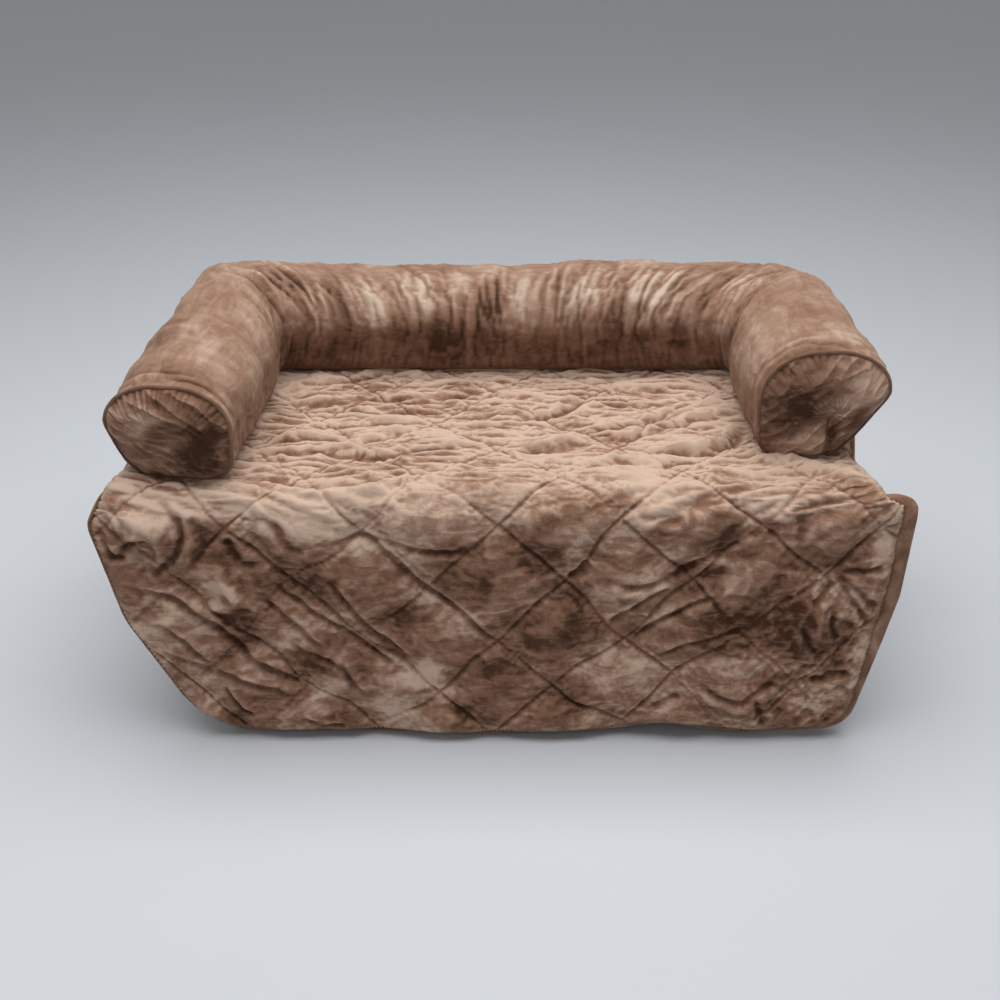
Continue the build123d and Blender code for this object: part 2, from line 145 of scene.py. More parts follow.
def to_cloth(px, py):
    """The point of the topper's flat cloth that a pixel of the photograph shows: across, run."""
    u, v = (px - IMAGE_SIZE / 2) / FOCAL_PX, (py - IMAGE_SIZE / 2) / FOCAL_PX
    sin, cos = math.sin(CAMERA_PITCH), math.cos(CAMERA_PITCH)
    way = np.array([u, cos - sin * v, -sin - cos * v])
    eye = np.array(CAMERA_PLACE)
    on_seat = eye + way * (SEAT_TOP - eye[2]) / way[2]
    if on_seat[1] > FOLD_Y:
        return on_seat[0], FOLD_Y - on_seat[1]
    on_flap = eye + way * (FOLD_Y - FOLD_ROUND - eye[1]) / way[1]
    if on_flap[2] < FOLD_Z:
        return on_flap[0], FOLD_ARC + FOLD_Z - on_flap[2]
    from_axis = eye[1:] - np.array([FOLD_Y, FOLD_Z])
    a = way[1:] @ way[1:]
    b = from_axis @ way[1:]
    c = from_axis @ from_axis - FOLD_ROUND**2
    t = (-b - math.sqrt(max(b * b - a * c, 0))) / a
    point = eye + way * t
    return point[0], FOLD_ROUND * math.atan2(FOLD_Y - point[1], point[2] - FOLD_Z)


def lay(x, s, h):
    """Where a point of the flat cloth lies: x across, s its run past the seat's front line, h its
    height over the topper's underside."""
    turn = np.clip(s / FOLD_ROUND, 0, math.pi / 2)
    down = np.maximum(s - FOLD_ARC, 0)
    share = down / (HEM_RUN - FOLD_ARC)
    h = h + flap_sway(x, share)
    h = PROUD - PROUD_EASE * np.logaddexp(0, (PROUD - h) / PROUD_EASE)
    reach = FOLD_ROUND - THICK + h
    y = FOLD_Y - np.minimum(s, 0) - reach * np.sin(turn)
    z = FOLD_Z + reach * np.cos(turn) - down + hem_lift(x) * share**4
    return np.stack(np.broadcast_arrays(x, y, z), -1)


def flap_sway(x, share):
    """How far the whole hanging flap stands forward of its flat place."""
    wave = 0.003 * np.sin(x / 0.11 + 0.8) + 0.002 * np.sin(x / 0.047 + 2.1)
    return share**1.5 * (0.006 + wave) + 0.008 * share**2


def soft_lift(x, s):
    """How far the stuffing lifts the face: fuller at the rear and at both front corners."""
    rear = 0.006 * smooth(-0.15, -0.27, s)
    lobe = 0.013 * bell(x, 0.452, 0.030) * bell(s, 0.040, 0.030)
    left = 0.007 * bell(x, -0.425, 0.050) * bell(s, 0.055, 0.045)
    return rear + lobe + left


def hem_lift(x):
    """How far the hem rises off the floor line, the wave right of the middle the most."""
    return 0.015 * bell(x, 0.210, 0.060) + 0.001 * (1 + np.sin(x / 0.06))


def rounded(corners, radii, step):
    """A path through corners, each rounded by its radius: points and each round's middle index."""
    points, middles = [np.array(corners[0], float)], []
    for before, corner, after, radius in zip(corners, corners[1:], corners[2:], radii[1:]):
        before, corner, after = (np.array(p, float) for p in (before, corner, after))
        to_back = (before - corner) / np.linalg.norm(before - corner)
        to_next = (after - corner) / np.linalg.norm(after - corner)
        half = math.acos(np.clip(to_back @ to_next, -1, 1)) / 2
        run = radius / math.tan(half)
        centre = corner + (to_back + to_next) / np.linalg.norm(to_back + to_next) * radius / math.sin(half)
        first, last = corner + to_back * run - centre, corner + to_next * run - centre
        start = math.atan2(first[1], first[0])
        sweep = (math.atan2(last[1], last[0]) - start + math.pi) % (2 * math.pi) - math.pi
        count = max(4, int(abs(sweep) * radius / step))
        turns = start + sweep * np.linspace(0, 1, count + 1)
        arc = centre + radius * np.stack([np.cos(turns), np.sin(turns)], -1)
        middles.append(len(points) + count // 2)
        points += list(arc)
    points.append(np.array(corners[-1], float))
    return np.array(points), middles


def resample(path, count):
    """count points evenly along a path."""
    runs = np.concatenate([[0], np.cumsum(np.linalg.norm(np.diff(path, axis=0), axis=1))])
    at = np.linspace(0, runs[-1], count)
    return np.stack([np.interp(at, runs, path[:, k]) for k in range(path.shape[1])], -1)


def refine(grid):
    """A grid with a smooth new row and column between each two."""
    for axis in (0, 1):
        g = np.moveaxis(grid, axis, 0)
        padded = np.concatenate([2 * g[:1] - g[1:2], g, 2 * g[-1:] - g[-2:-1]])
        middle = (9 * (g[1:] + g[:-1]) - padded[:-3] - padded[3:]) / 16
        out = np.empty((2 * len(g) - 1, *g.shape[1:]))
        out[::2], out[1::2] = g, middle
        grid = np.moveaxis(out, 0, axis)
    return grid


def add_mesh(name, points, faces, body=None, flat=None, marks=None, solid=True):
    """A smooth-shaded mesh object, with its flat cloth places and masks kept for its material.

    A solid one gets its faces turned outward, and one with a body rides on it.
    """
    mesh = bpy.data.meshes.new(name)
    mesh.from_pydata([tuple(p) for p in points], [], [tuple(f) for f in faces])
    if solid:
        form = bmesh.new()
        form.from_mesh(mesh)
        bmesh.ops.recalc_face_normals(form, faces=form.faces)
        form.to_mesh(mesh)
        form.free()
    mesh.polygons.foreach_set("use_smooth", [True] * len(mesh.polygons))
    piece = bpy.data.objects.new(name, mesh)
    bpy.context.scene.collection.objects.link(piece)
    if flat is not None:
        places = mesh.attributes.new("flat", "FLOAT_VECTOR", "POINT")
        places.data.foreach_set("vector", np.asarray(flat, np.float32).ravel())
    for key, values in (marks or {}).items():
        mask = mesh.attributes.new(key, "FLOAT", "POINT")
        mask.data.foreach_set("value", np.asarray(values, np.float32).ravel())
    mesh.update()
    if body:
        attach(piece, body)
    return piece


def grid_faces(rows, columns, first=0, closed=False, ring=False):
    """Quads over a grid of rows. The last column joins the first one where closed, and the last row
    the first one where it is a ring."""
    index = first + np.arange(rows * columns).reshape(rows, columns)
    if ring:
        index = np.concatenate([index, index[:1]])
    if closed:
        index = np.concatenate([index, index[:, :1]], 1)
    quads = np.stack([index[1:, :-1], index[1:, 1:], index[:-1, 1:], index[:-1, :-1]], -1)
    return quads.reshape(-1, 4).tolist()


def closed_roll(grid, ends=None):
    """The points and faces of a grid closed round a roll, each end closed to a point at its middle."""
    rows, count = grid.shape[:2]
    ends = (grid[0].mean(0), grid[-1].mean(0)) if ends is None else ends
    points = np.concatenate([grid.reshape(-1, 3), ends])
    faces = grid_faces(rows, count, closed=True)
    last = (rows - 1) * count
    for k in range(count):
        after = (k + 1) % count
        faces.append((k, after, len(points) - 2))
        faces.append((last + after, last + k, len(points) - 1))
    return points, faces


def blurred(grid, passes):
    """The grid's values eased towards their neighbours."""
    for _ in range(passes):
        wide = np.pad(grid, 1, mode="edge")
        grid = (wide[2:, 1:-1] + wide[:-2, 1:-1] + wide[1:-1, 2:] + wide[1:-1, :-2] + 2 * grid) / 6
    return grid


# The cloth that settles: its stiffness, the frames that it has and the furthest that a point may move
CLOTH = {
    "quality": 5, "mass": 0.15, "tension_stiffness": 12, "compression_stiffness": 12,
    "shear_stiffness": 6, "bending_stiffness": 0.6,
}
SETTLE_FRAMES = 11
SETTLE_REACH = 0.010
# How firmly the stitches hold the cloth that settles, and how firmly it is held between them
STITCH_HOLD, LEAST_HOLD = 0.97, 0.02


def settle(points, faces, hold, slack, pressure):
    """The points after a cloth simulation: loose cloth under pressure, held by a weight a point.

    slack is how much longer the cloth is than its place, a number a point.
    """
    piece = add_mesh("settling", points, faces, solid=False)
    group = piece.vertex_groups.new(name="hold")
    tight = piece.vertex_groups.new(name="tight")
    most = float(np.max(slack))
    for i in range(len(points)):
        if hold[i] > 0.005:
            group.add([i], float(hold[i]), "REPLACE")
        tight.add([i], 1 - float(slack[i]) / most, "REPLACE")
    cloth = piece.modifiers.new("cloth", "CLOTH")
    own = cloth.settings
    for name, value in CLOTH.items():
        setattr(own, name, value)
    own.vertex_group_mass = group.name
    own.vertex_group_shrink = tight.name
    own.shrink_min, own.shrink_max = -most, 0
    own.use_pressure = True
    own.uniform_pressure_force = pressure
    own.effector_weights.gravity = 0
    cloth.point_cache.frame_start = 1
    cloth.point_cache.frame_end = SETTLE_FRAMES
    for number in range(1, SETTLE_FRAMES + 1):
        bpy.context.scene.frame_set(number)
    graph = bpy.context.evaluated_depsgraph_get()
    moved = np.empty(len(points) * 3, np.float32)
    piece.evaluated_get(graph).data.vertices.foreach_get("co", moved)
    move = moved.reshape(-1, 3).astype(float) - points
    length = np.linalg.norm(move, axis=1, keepdims=True)
    move *= np.minimum(1, SETTLE_REACH / np.maximum(length, 1e-9))
    bpy.data.objects.remove(piece)
    bpy.context.scene.frame_set(1)
    return points + move


# The topper's outline on flat cloth, and the quilting on it

# Where the hem's straight part would end, how round its corners are and the edge band's widths
FOOT_LEFT, FOOT_RIGHT = 0.371, 0.443
CORNER_LEFT, CORNER_RIGHT = 0.120, 0.045
BAND_NARROW, BAND_WIDE = 0.007, 0.022
# Rows and columns of the grid that settles, of which the finished one has about twice as many
QUILT_ROWS, QUILT_COLUMNS = 193, 225
BACKING_ROWS, BACKING_COLUMNS = 150, 176
BAND_COUNT = 1800
EDGE_ROUND = 0.016
# The quilt's underside has one row for so many of its face
BELOW_STEP = 4


def topper_outline():
    """The outline from the rear left corner down, along the hem and up to the rear right corner: its
    points, the way inward at each and the index of each corner's middle."""
    corners = [
        (-SIDE, REAR_RUN),
        (0.003 - SIDE, -0.03),
        (-SHOULDER - 0.009, 0.078),
        (0.018 - SHOULDER, 0.208),
        (-FOOT_LEFT, HEM_RUN),
        (FOOT_RIGHT, HEM_RUN),
        (SHOULDER + 0.006, 0.170),
        (SHOULDER + 0.012, 0.027),
        (SIDE - 0.005, 0.019),
        (SIDE - 0.024, -0.070),
        (SIDE, -0.170),
        (SIDE, REAR_RUN),
    ]
    radii = [0, 0.05, 0.04, 0.12, CORNER_LEFT, CORNER_RIGHT, 0.1, 0.024, 0.008, 0.04, 0.1, 0]
    path, middles = rounded(corners, radii, 0.004)
    along = np.gradient(path, axis=0)
    along /= np.linalg.norm(along, axis=1, keepdims=True)
    inward = np.stack([along[:, 1], -along[:, 0]], -1)
    return path, inward, middles


def band_width(x, s):
    """How wide the edge band is beside a point of the outline: wide down the flap's right side."""
    right = smooth(0.30, 0.43, x) * smooth(0.014, 0.024, s) * (1 - 0.6 * smooth(0.2, 0.34, s))
    return BAND_NARROW + (BAND_WIDE - BAND_NARROW) * right


def quilt_grid(rows, columns):
    """Flat places of the quilted face, rows from the rear edge to the hem."""
    path, inward, middles = topper_outline()
    width = band_width(path[:, 0], path[:, 1])[:, None]
    seam = path + inward * width * 0.8
    seam[0, 1] = seam[-1, 1] = REAR_RUN + BAND_NARROW
    left_end, right_end = middles[3], middles[4]
    left = resample(seam[: left_end + 1], rows)
    hem = resample(seam[left_end : right_end + 1], columns)
    right = resample(seam[right_end:], rows)[::-1]
    rear = resample(np.array([left[0], right[0]]), columns)
    v = np.linspace(0, 1, rows)[:, None, None]
    u = np.linspace(0, 1, columns)[None, :, None]
    sides = (1 - u) * left[:, None] + u * right[:, None]
    ends = (1 - v) * rear[None] + v * hem[None]
    corners = (1 - v) * ((1 - u) * rear[0] + u * rear[-1]) + v * ((1 - u) * hem[0] + u * hem[-1])
    return sides + ends - corners


# Half the diagonal of a quilted square, and where one crossing of the even pattern lies
STEP = 0.075
CROSS_X, CROSS_RUN = -0.008, -0.084
# Where stitch lines cross in the photograph
CROSSINGS_PX = (
    (545, 369), (380, 396), (494, 393), (604, 389), (719, 383), (433, 422), (540, 416), (640, 406),
    (370, 451), (496, 447), (615, 445), (422, 475), (563, 471), (682, 465), (220, 533), (358, 537),
    (500, 528), (623, 515), (794, 533), (267, 575), (427, 590), (570, 584), (697, 580), (836, 575),
    (341, 631), (500, 643), (630, 641), (873, 610), (444, 693), (551, 683), (668, 669), (379, 720),
    (491, 729), (631, 711),
)


def crossing_shifts():
    """The crossings' places on the cloth, and how far each strays from the even pattern."""
    places, shifts = [], []
    for pixel in CROSSINGS_PX:
        x, s = to_cloth(*pixel)
        a, b = (x - CROSS_X) / STEP, (s - CROSS_RUN) / STEP
        e, f = round((a + b) / 2), round((a - b) / 2)
        places.append((x, s))
        shifts.append((CROSS_X + STEP * (e + f) - x, CROSS_RUN + STEP * (e - f) - s))
    shifts = np.array(shifts)
    length = np.linalg.norm(shifts, axis=1, keepdims=True)
    return np.array(places), shifts * np.minimum(1, 0.024 / np.maximum(length, 1e-9))


CROSSINGS, SHIFTS = crossing_shifts()


def stitch_places(x, s):
    """The two families of stitch lines: each point's place in the pattern, whole on a stitch line."""
    total, move_x, move_s = 0.35, 0.0, 0.0
    for place, shift in zip(CROSSINGS, SHIFTS):
        near = np.exp(-((x - place[0]) ** 2 + (s - place[1]) ** 2) / 0.045**2)
        total, move_x, move_s = total + near, move_x + near * shift[0], move_s + near * shift[1]
    wander = 0.003 * noise(x / 0.06, s / 0.06, 8)
    a = (x + move_x / total + wander - CROSS_X) / STEP
    b = (s + move_s / total - wander - CROSS_RUN) / STEP
    return (a + b) / 2, (a - b) / 2


def stitch_gap(e, f):
    """How far each point is from the nearest stitch line."""
    return np.minimum(np.abs(e - np.round(e)), np.abs(f - np.round(f))) * STEP * math.sqrt(2)


def stitch_pull(x, s):
    """How firmly each family of stitch lines draws the face down: here tight, there hidden by the pile."""
    first = smooth(-0.45, 0.25, noise(x / 0.09, s / 0.09, 61))
    second = smooth(-0.55, 0.15, noise(x / 0.09 + 7, s / 0.09, 62))
    left = smooth(-0.05, -0.15, x) * smooth(0.07, 0.13, s)
    right = smooth(0.18, 0.26, x) * smooth(0.12, 0.18, s)
    foot = 1 - 0.75 * smooth(0.20, 0.28, x) * smooth(0.15, 0.20, s)
    first, second = (0.30 + 0.70 * first) * (1 - 0.75 * left), (0.45 + 0.55 * second) * (1 - 0.55 * right)
    return first * foot, second * foot


def quilt_height(x, s, settings):
    """The face's height over the topper's underside: puffed squares between sunk stitch lines."""
    e, f = stitch_places(x, s)
    first, second = stitch_pull(x, s)
    puff = 1 - first * (1 - np.abs(np.sin(math.pi * e)) ** 0.55)
    puff *= 1 - second * (1 - np.abs(np.sin(math.pi * f)) ** 0.55)
    plump = 1 + 0.3 * noise(np.floor(e) * 1.7 + 0.4, np.floor(f) * 1.3 + 0.4, 3)
    level = 1 - 0.35 * (1 - smooth(-0.05, 0.02, s))
    lumps = 0.0030 * layered(x / 0.05, s / 0.05, 5)
    return THICK - settings.stitch_depth + settings.puff * plump * puff * level + lumps + soft_lift(x, s)


def edge_gap(grid):
    """How far each point of a grid is from the seam round it."""
    gaps = np.full(grid.shape[:2], FAR)
    for line in (grid[0], grid[-1], grid[:, 0], grid[:, -1]):
        for point in line[::3]:
            gaps = np.minimum(gaps, np.hypot(grid[..., 0] - point[0], grid[..., 1] - point[1]))
    return gaps


def round_over(gap, width):
    """0 at the seam, rising to 1 as the quarter round of a stuffed edge does."""
    return np.sqrt(np.clip(1 - (1 - np.clip(gap / width, 0, 1)) ** 2, 0, 1))


def quilt_points(settings):
    """The quilted face as fine grids: flat places, heights and the distance from its seam."""
    coarse = quilt_grid(QUILT_ROWS, QUILT_COLUMNS)
    x, s = coarse[..., 0], coarse[..., 1]
    height = quilt_height(x, s, settings)
    flat = np.stack([x, -s, height], -1)
    gap = stitch_gap(*stitch_places(x, s))
    hold = np.maximum(STITCH_HOLD * np.clip(1 - gap / 0.005, 0, 1), LEAST_HOLD)
    hold[edge_gap(coarse) < 0.004] = 1
    seat = 1 - smooth(-0.02, 0.03, s)
    crumple = smooth(0.2, 0.4, x) * smooth(0.1, 0.2, s)
    slack = 0.022 + 0.035 * seat + 0.03 * crumple
    draw = np.stack([along_seat(s), np.ones_like(s), np.ones_like(s)], -1)
    points = (flat * draw).reshape(-1, 3)
    points = settle(points, grid_faces(*x.shape), hold.ravel(), slack.ravel(), 2.0)
    flat = points.reshape(flat.shape) / draw
    fine = refine(flat)
    x, s, h = fine[..., 0], -fine[..., 1], fine[..., 2]
    gap = edge_gap(quilt_grid(*x.shape))
    h = h + (face_detail(x, s) + hand_folds(x, s)) * smooth(0, 0.012, gap)
    low = THICK * 0.2
    return x, s, low + (np.maximum(h, low) - low) * round_over(gap, EDGE_ROUND)


def along_seat(s):
    """How much the cloth is drawn together across the bed while it settles, which draws the seat's
    wrinkles out across the bed."""
    return 0.34 + 0.51 * smooth(-0.02, 0.08, s)


def face_detail(x, s):
    """Fine relief over the puffed face: a sharp dip along each stitch line, puckers beside it, and
    wrinkles that run across the seat."""
    e, f = stitch_places(x, s)
    gap = stitch_gap(e, f)
    first_nearer = np.abs(e - np.round(e)) < np.abs(f - np.round(f))
    dip = -0.0020 * np.where(first_nearer, *stitch_pull(x, s)) * bell(gap, 0, 0.0020)
    along = np.where(first_nearer, f, e) * STEP * math.sqrt(2)
    pucker = 0.0016 * noise(along / 0.008, gap / 0.03, 11) * np.exp(-gap / 0.012)
    seat = 1 - smooth(-0.03, 0.02, s)
    bow = s + 0.012 * noise(x / 0.14, s / 0.09, 4)
    across = 0.0062 * (creases(x / 0.11, bow / 0.021, 21) - 0.45)
    across += 0.0036 * (creases(x / 0.06, bow / 0.011, 22) - 0.45)
    worn = 0.0016 * (creases((x + 0.5 * s) / 0.035, (s - 0.5 * x) / 0.026, 31) - 0.4)
    right = smooth(0.22, 0.36, x) * smooth(0.09, 0.16, s)
    crumpled = 0.0035 * (creases((x + 0.4 * s) / 0.022, (s + 0.3 * x) / 0.034, 33) - 0.4)
    across *= seat * (0.55 + 0.45 * smooth(0.003, 0.012, gap))
    return dip + pucker + across + worn + crumpled * right


# Folds seen in the photograph, each as its depth, half its width, the ridge beside it (above the fold
# as it runs to the right, below it where negative) and the pixels along it
FOLDS_PX = (
    (-0.0060, 0.022, 0.000, ((118, 536), (134, 526), (150, 526), (166, 536))),
    (0.0050, 0.005, 0.003, (
        (148, 503), (164, 508), (177, 520), (182, 536), (178, 553), (166, 567), (148, 576))),
    (0.0040, 0.005, 0.002, ((100, 530), (103, 543), (113, 557), (130, 557))),
    (0.0045, 0.005, 0.003, ((117, 556), (126, 547), (137, 541), (150, 537))),
    (-0.0040, 0.006, 0.000, ((153, 538), (161, 548), (161, 560), (152, 568))),
    (0.0020, 0.007, 0.002, ((188, 572), (200, 555), (206, 541))),
    (-0.0070, 0.012, 0.000, ((738, 440), (768, 456), (804, 463), (838, 471), (870, 486))),
    (0.0060, 0.006, 0.003, (
        (112, 582), (138, 589), (157, 594), (178, 601), (197, 613), (220, 627), (239, 643),
        (250, 657), (271, 669), (290, 676), (318, 691))),
    (0.0045, 0.005, 0.002, (
        (136, 620), (162, 624), (185, 638), (211, 662), (229, 671), (248, 678), (287, 690),
        (305, 695))),
    (0.0040, 0.005, 0.002, ((155, 650), (173, 655), (192, 659), (215, 670), (234, 674))),
    (0.0045, 0.004, 0.003, ((225, 680), (234, 692), (243, 704), (258, 712))),
    (0.0060, 0.005, 0.003, (
        (325, 573), (339, 592), (353, 610), (367, 627), (390, 643), (407, 657), (418, 668))),
    (0.0040, 0.004, 0.002, (
        (358, 536), (376, 547), (402, 571), (425, 589), (442, 599), (463, 615), (500, 646))),
    (0.0045, 0.005, -0.002, (
        (320, 544), (339, 543), (360, 537), (390, 545), (425, 551), (458, 552), (480, 544))),
    (0.0040, 0.005, 0.002, (
        (285, 636), (304, 648), (327, 657), (346, 666), (355, 683), (368, 695))),
    (0.0040, 0.005, 0.002, ((258, 591), (278, 608), (295, 622), (313, 638), (328, 646))),
    (0.0040, 0.004, 0.002, (
        (269, 578), (285, 592), (304, 603), (327, 620), (351, 634), (381, 655), (408, 670))),
    (-0.0060, 0.008, 0.000, (
        (214, 560), (226, 582), (236, 598), (228, 606), (206, 606), (184, 599))),
    (0.0050, 0.006, 0.002, ((222, 538), (232, 552), (243, 564), (259, 568))),
    (0.0050, 0.007, -0.002, ((268, 520), (283, 539), (291, 548), (306, 553))),
    (0.0035, 0.004, 0.002, ((300, 710), (325, 722), (350, 720))),
    (0.0055, 0.006, 0.000, ((588, 562), (582, 573), (567, 581))),
    (0.0040, 0.005, -0.002, ((636, 519), (663, 519), (686, 521))),
    (0.0045, 0.005, -0.003, (
        (610, 580), (631, 586), (652, 585), (677, 575), (703, 561), (734, 546))),
    (0.0035, 0.004, 0.002, ((603, 622), (631, 608), (649, 596), (678, 585))),
    (0.0035, 0.004, 0.002, ((630, 638), (663, 617), (691, 603), (725, 594))),
    (0.0030, 0.004, 0.002, ((648, 658), (687, 641), (724, 632), (754, 622))),
    (0.0055, 0.006, 0.000, ((801, 513), (804, 530), (799, 545))),
    (0.0040, 0.005, 0.003, ((836, 575), (857, 589), (878, 610))),
    (0.0040, 0.005, 0.002, ((838, 574), (862, 571), (886, 567))),
    (0.0035, 0.005, 0.002, ((836, 580), (822, 597), (808, 605))),
    (0.0040, 0.004, 0.002, ((838, 580), (856, 604), (868, 626))),
    (0.0060, 0.005, -0.003, ((801, 622), (806, 638), (814, 651))),
    (0.0045, 0.004, 0.002, ((834, 606), (830, 624), (836, 638))),
    (0.0050, 0.005, -0.004, ((697, 679), (715, 691), (738, 697), (755, 686), (777, 672))),
    (0.0045, 0.005, -0.003, ((806, 679), (827, 673), (850, 670))),
    (0.0050, 0.005, 0.002, ((752, 690), (757, 707), (762, 722))),
    (0.0045, 0.006, 0.002, ((648, 708), (664, 700), (680, 693))),
    (0.0050, 0.006, -0.003, ((256, 472), (300, 483), (358, 483), (413, 472), (448, 462))),
    (0.0045, 0.006, 0.003, (
        (272, 454), (322, 450), (371, 455), (413, 450), (450, 445), (486, 444))),
    (0.0045, 0.005, 0.003, ((259, 441), (306, 438), (352, 441), (389, 435), (428, 429))),
    (0.0040, 0.005, 0.002, ((262, 432), (297, 429), (334, 424), (383, 422), (420, 426))),
    (0.0028, 0.006, 0.002, (
        (300, 406), (343, 402), (377, 399), (413, 400), (450, 397), (492, 390))),
    (0.0035, 0.005, 0.002, ((276, 397), (303, 387), (343, 384), (377, 376), (420, 371))),
    (0.0045, 0.006, 0.003, ((510, 419), (554, 413), (588, 399))),
    (0.0045, 0.006, 0.003, ((584, 432), (621, 426), (658, 416), (707, 404), (733, 397))),
    (0.0045, 0.006, 0.003, ((609, 439), (658, 429), (688, 421), (733, 411))),
    (0.0065, 0.007, 0.004, ((625, 444), (664, 451), (700, 451), (731, 441), (748, 425))),
    (0.0040, 0.006, 0.003, ((514, 453), (556, 444), (600, 438))),
    (0.0040, 0.006, 0.002, ((580, 462), (622, 459), (660, 462), (700, 457))),
)
# How much deeper the folds are made, as the pile softens them
FOLD_STRENGTH = 1.5


def hand_folds(x, s):
    """The folds placed from the photograph, as height."""
    total = np.zeros_like(x)
    for depth, wide, ridge, pixels in FOLDS_PX:
        way = resample(np.array([to_cloth(*p) for p in pixels]), 4 * len(pixels))
        reach = 6 * wide
        low, high = way.min(0) - reach, way.max(0) + reach
        near = (x > low[0]) & (x < high[0]) & (s > low[1]) & (s < high[1])
        px, ps = x[near], s[near]
        gap, side, along = np.full(px.shape, FAR), np.zeros(px.shape), np.zeros(px.shape)
        for k, (start, end) in enumerate(zip(way, way[1:])):
            run = end - start
            share = np.clip(((px - start[0]) * run[0] + (ps - start[1]) * run[1]) / (run @ run), 0, 1)
            off_x, off_s = px - start[0] - share * run[0], ps - start[1] - share * run[1]
            here = np.hypot(off_x, off_s)
            closer = here < gap
            gap = np.where(closer, here, gap)
            side = np.where(closer, np.sign(run[0] * off_s - run[1] * off_x) * here, side)
            along = np.where(closer, (k + share) / (len(way) - 1), along)
        beside = side if ridge < 0 else -side
        crest = abs(ridge) * bell(beside, 1.9 * wide, 1.3 * wide)
        total[near] += FOLD_STRENGTH * window(0, 0.18, 0.82, 1, along) * (crest - depth * bell(gap, 0, wide))
    return total


def close_below(rows, columns, step):
    """Faces that join a fine grid to a coarse one under it, which keeps each step-th row and column."""
    low_rows, low_columns = (rows - 1) // step + 1, (columns - 1) // step + 1
    first = rows * columns

    def rim(row_count, column_count, start):
        index = start + np.arange(row_count * column_count).reshape(row_count, column_count)
        return np.concatenate([index[:-1, 0], index[-1, :-1], index[:0:-1, -1], index[0, :0:-1]])

    upper, lower = rim(rows, columns, 0), rim(low_rows, low_columns, first)
    faces = []
    for i in range(len(lower)):
        a, b = lower[i], lower[(i + 1) % len(lower)]
        run = [upper[(i * step + k) % len(upper)] for k in range(step + 1)]
        middle = step // 2
        for k in range(step):
            faces.append((run[k], run[k + 1], a if k < middle else b))
        faces.append((run[middle], b, a))
    below = [tuple(reversed(q)) for q in grid_faces(low_rows, low_columns, first)]
    return faces + below


# How high a small crest stands out that gets the lightest painted highlight (a hollow as deep gets the darkest
# painted shade), and how dark the quilt's underside is painted as shade
SHADING_CREST, UNDERSIDE_SHADE = 0.0013, -0.5


def build_quilt(settings, finish):
    """The quilted face and wadding, one puffed piece from the rear edge over the fold to the hem."""
    x, s, h = quilt_points(settings)
    rows, columns = x.shape
    top = lay(x, s, h)
    below = quilt_grid((rows - 1) // BELOW_STEP + 1, (columns - 1) // BELOW_STEP + 1)
    bottom = lay(below[..., 0], below[..., 1], QUILT_LOW)
    points = np.concatenate([top.reshape(-1, 3), bottom.reshape(-1, 3)])
    faces = grid_faces(rows, columns) + close_below(rows, columns, BELOW_STEP)
    flat = np.concatenate([
        np.stack([x, s, h], -1).reshape(-1, 3),
        np.concatenate([below, np.zeros((*below.shape[:2], 1))], -1).reshape(-1, 3),
    ])
    # Painted light and shade: the fine relief's crests are lightened and its creases and hollows darkened,
    # most on the seat
    relief = np.clip((h - blurred(h, 8)) / SHADING_CREST, -1, 1)
    seat = 1 - smooth(-0.03, 0.04, s)
    nap = nap_mask(x, s) * (1 - 0.4 * seat) + (0.62 + 0.4 * seat) * relief + brushed(x, s)
    # The quilt's underside, seen at its rolled edges, is painted dark as shade
    nap = np.concatenate([nap.ravel(), np.full(len(flat) - nap.size, UNDERSIDE_SHADE)])
    piece = add_mesh("topper_quilt", points, faces, flat=flat, marks={"nap": nap})
    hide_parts("seat_face", "seat_wadding", "fold_face", "fold_wadding", "flap_face", "flap_wadding")
    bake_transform(piece)
    piece.data.materials.append(finish)


# Patches of brushed pile seen in the photograph: pixel, how far it reaches across and down in pixels,
# and how light it is
PATCHES_PX = (
    ((200, 500), 120, 22, 0.8), ((330, 500), 60, 24, 0.5), ((140, 555), 34, 22, 0.5),
    ((215, 592), 26, 14, 0.9), ((165, 628), 36, 14, 0.6), ((250, 625), 40, 30, -0.9),
    ((290, 660), 40, 16, -0.5), ((205, 665), 34, 12, 0.3), ((340, 690), 30, 16, 0.7),
    ((415, 672), 38, 20, 0.8), ((300, 585), 40, 20, -0.4), ((365, 575), 34, 22, -0.7),
    ((420, 515), 40, 20, 0.5), ((390, 620), 30, 18, -0.3), ((460, 585), 34, 24, -0.9),
    ((470, 620), 36, 16, 0.3), ((540, 545), 34, 34, -0.9), ((520, 600), 40, 16, 0.3),
    ((560, 640), 46, 20, -0.6), ((510, 668), 30, 20, -0.5), ((585, 655), 30, 16, 0.6),
    ((560, 715), 50, 12, 0.4), ((640, 560), 36, 26, 0.3), ((600, 600), 24, 18, 0.6),
    ((665, 505), 40, 20, 0.6), ((730, 540), 36, 26, -0.7), ((700, 580), 36, 18, -0.5),
    ((650, 640), 40, 20, -0.4), ((760, 505), 34, 18, 0.5), ((770, 560), 40, 24, 0.2),
    ((840, 520), 30, 30, 0.1), ((760, 625), 60, 30, -0.7), ((730, 660), 30, 12, 0.6),
    ((830, 640), 30, 30, -0.6), ((720, 700), 50, 14, -0.3), ((800, 705), 40, 16, 0.2),
    ((660, 690), 30, 16, 0.3), ((480, 705), 26, 16, -0.7), ((395, 700), 22, 14, 0.5),
    ((850, 575), 24, 20, -0.5), ((856, 662), 14, 30, 0.8), ((780, 656), 30, 12, 0.7),
    ((818, 697), 26, 12, 0.6), ((150, 520), 34, 20, 0.5), ((212, 582), 26, 18, 0.7),
    ((880, 560), 12, 30, 0.7), ((160, 595), 26, 10, 0.6), ((640, 480), 50, 16, 0.4),
)


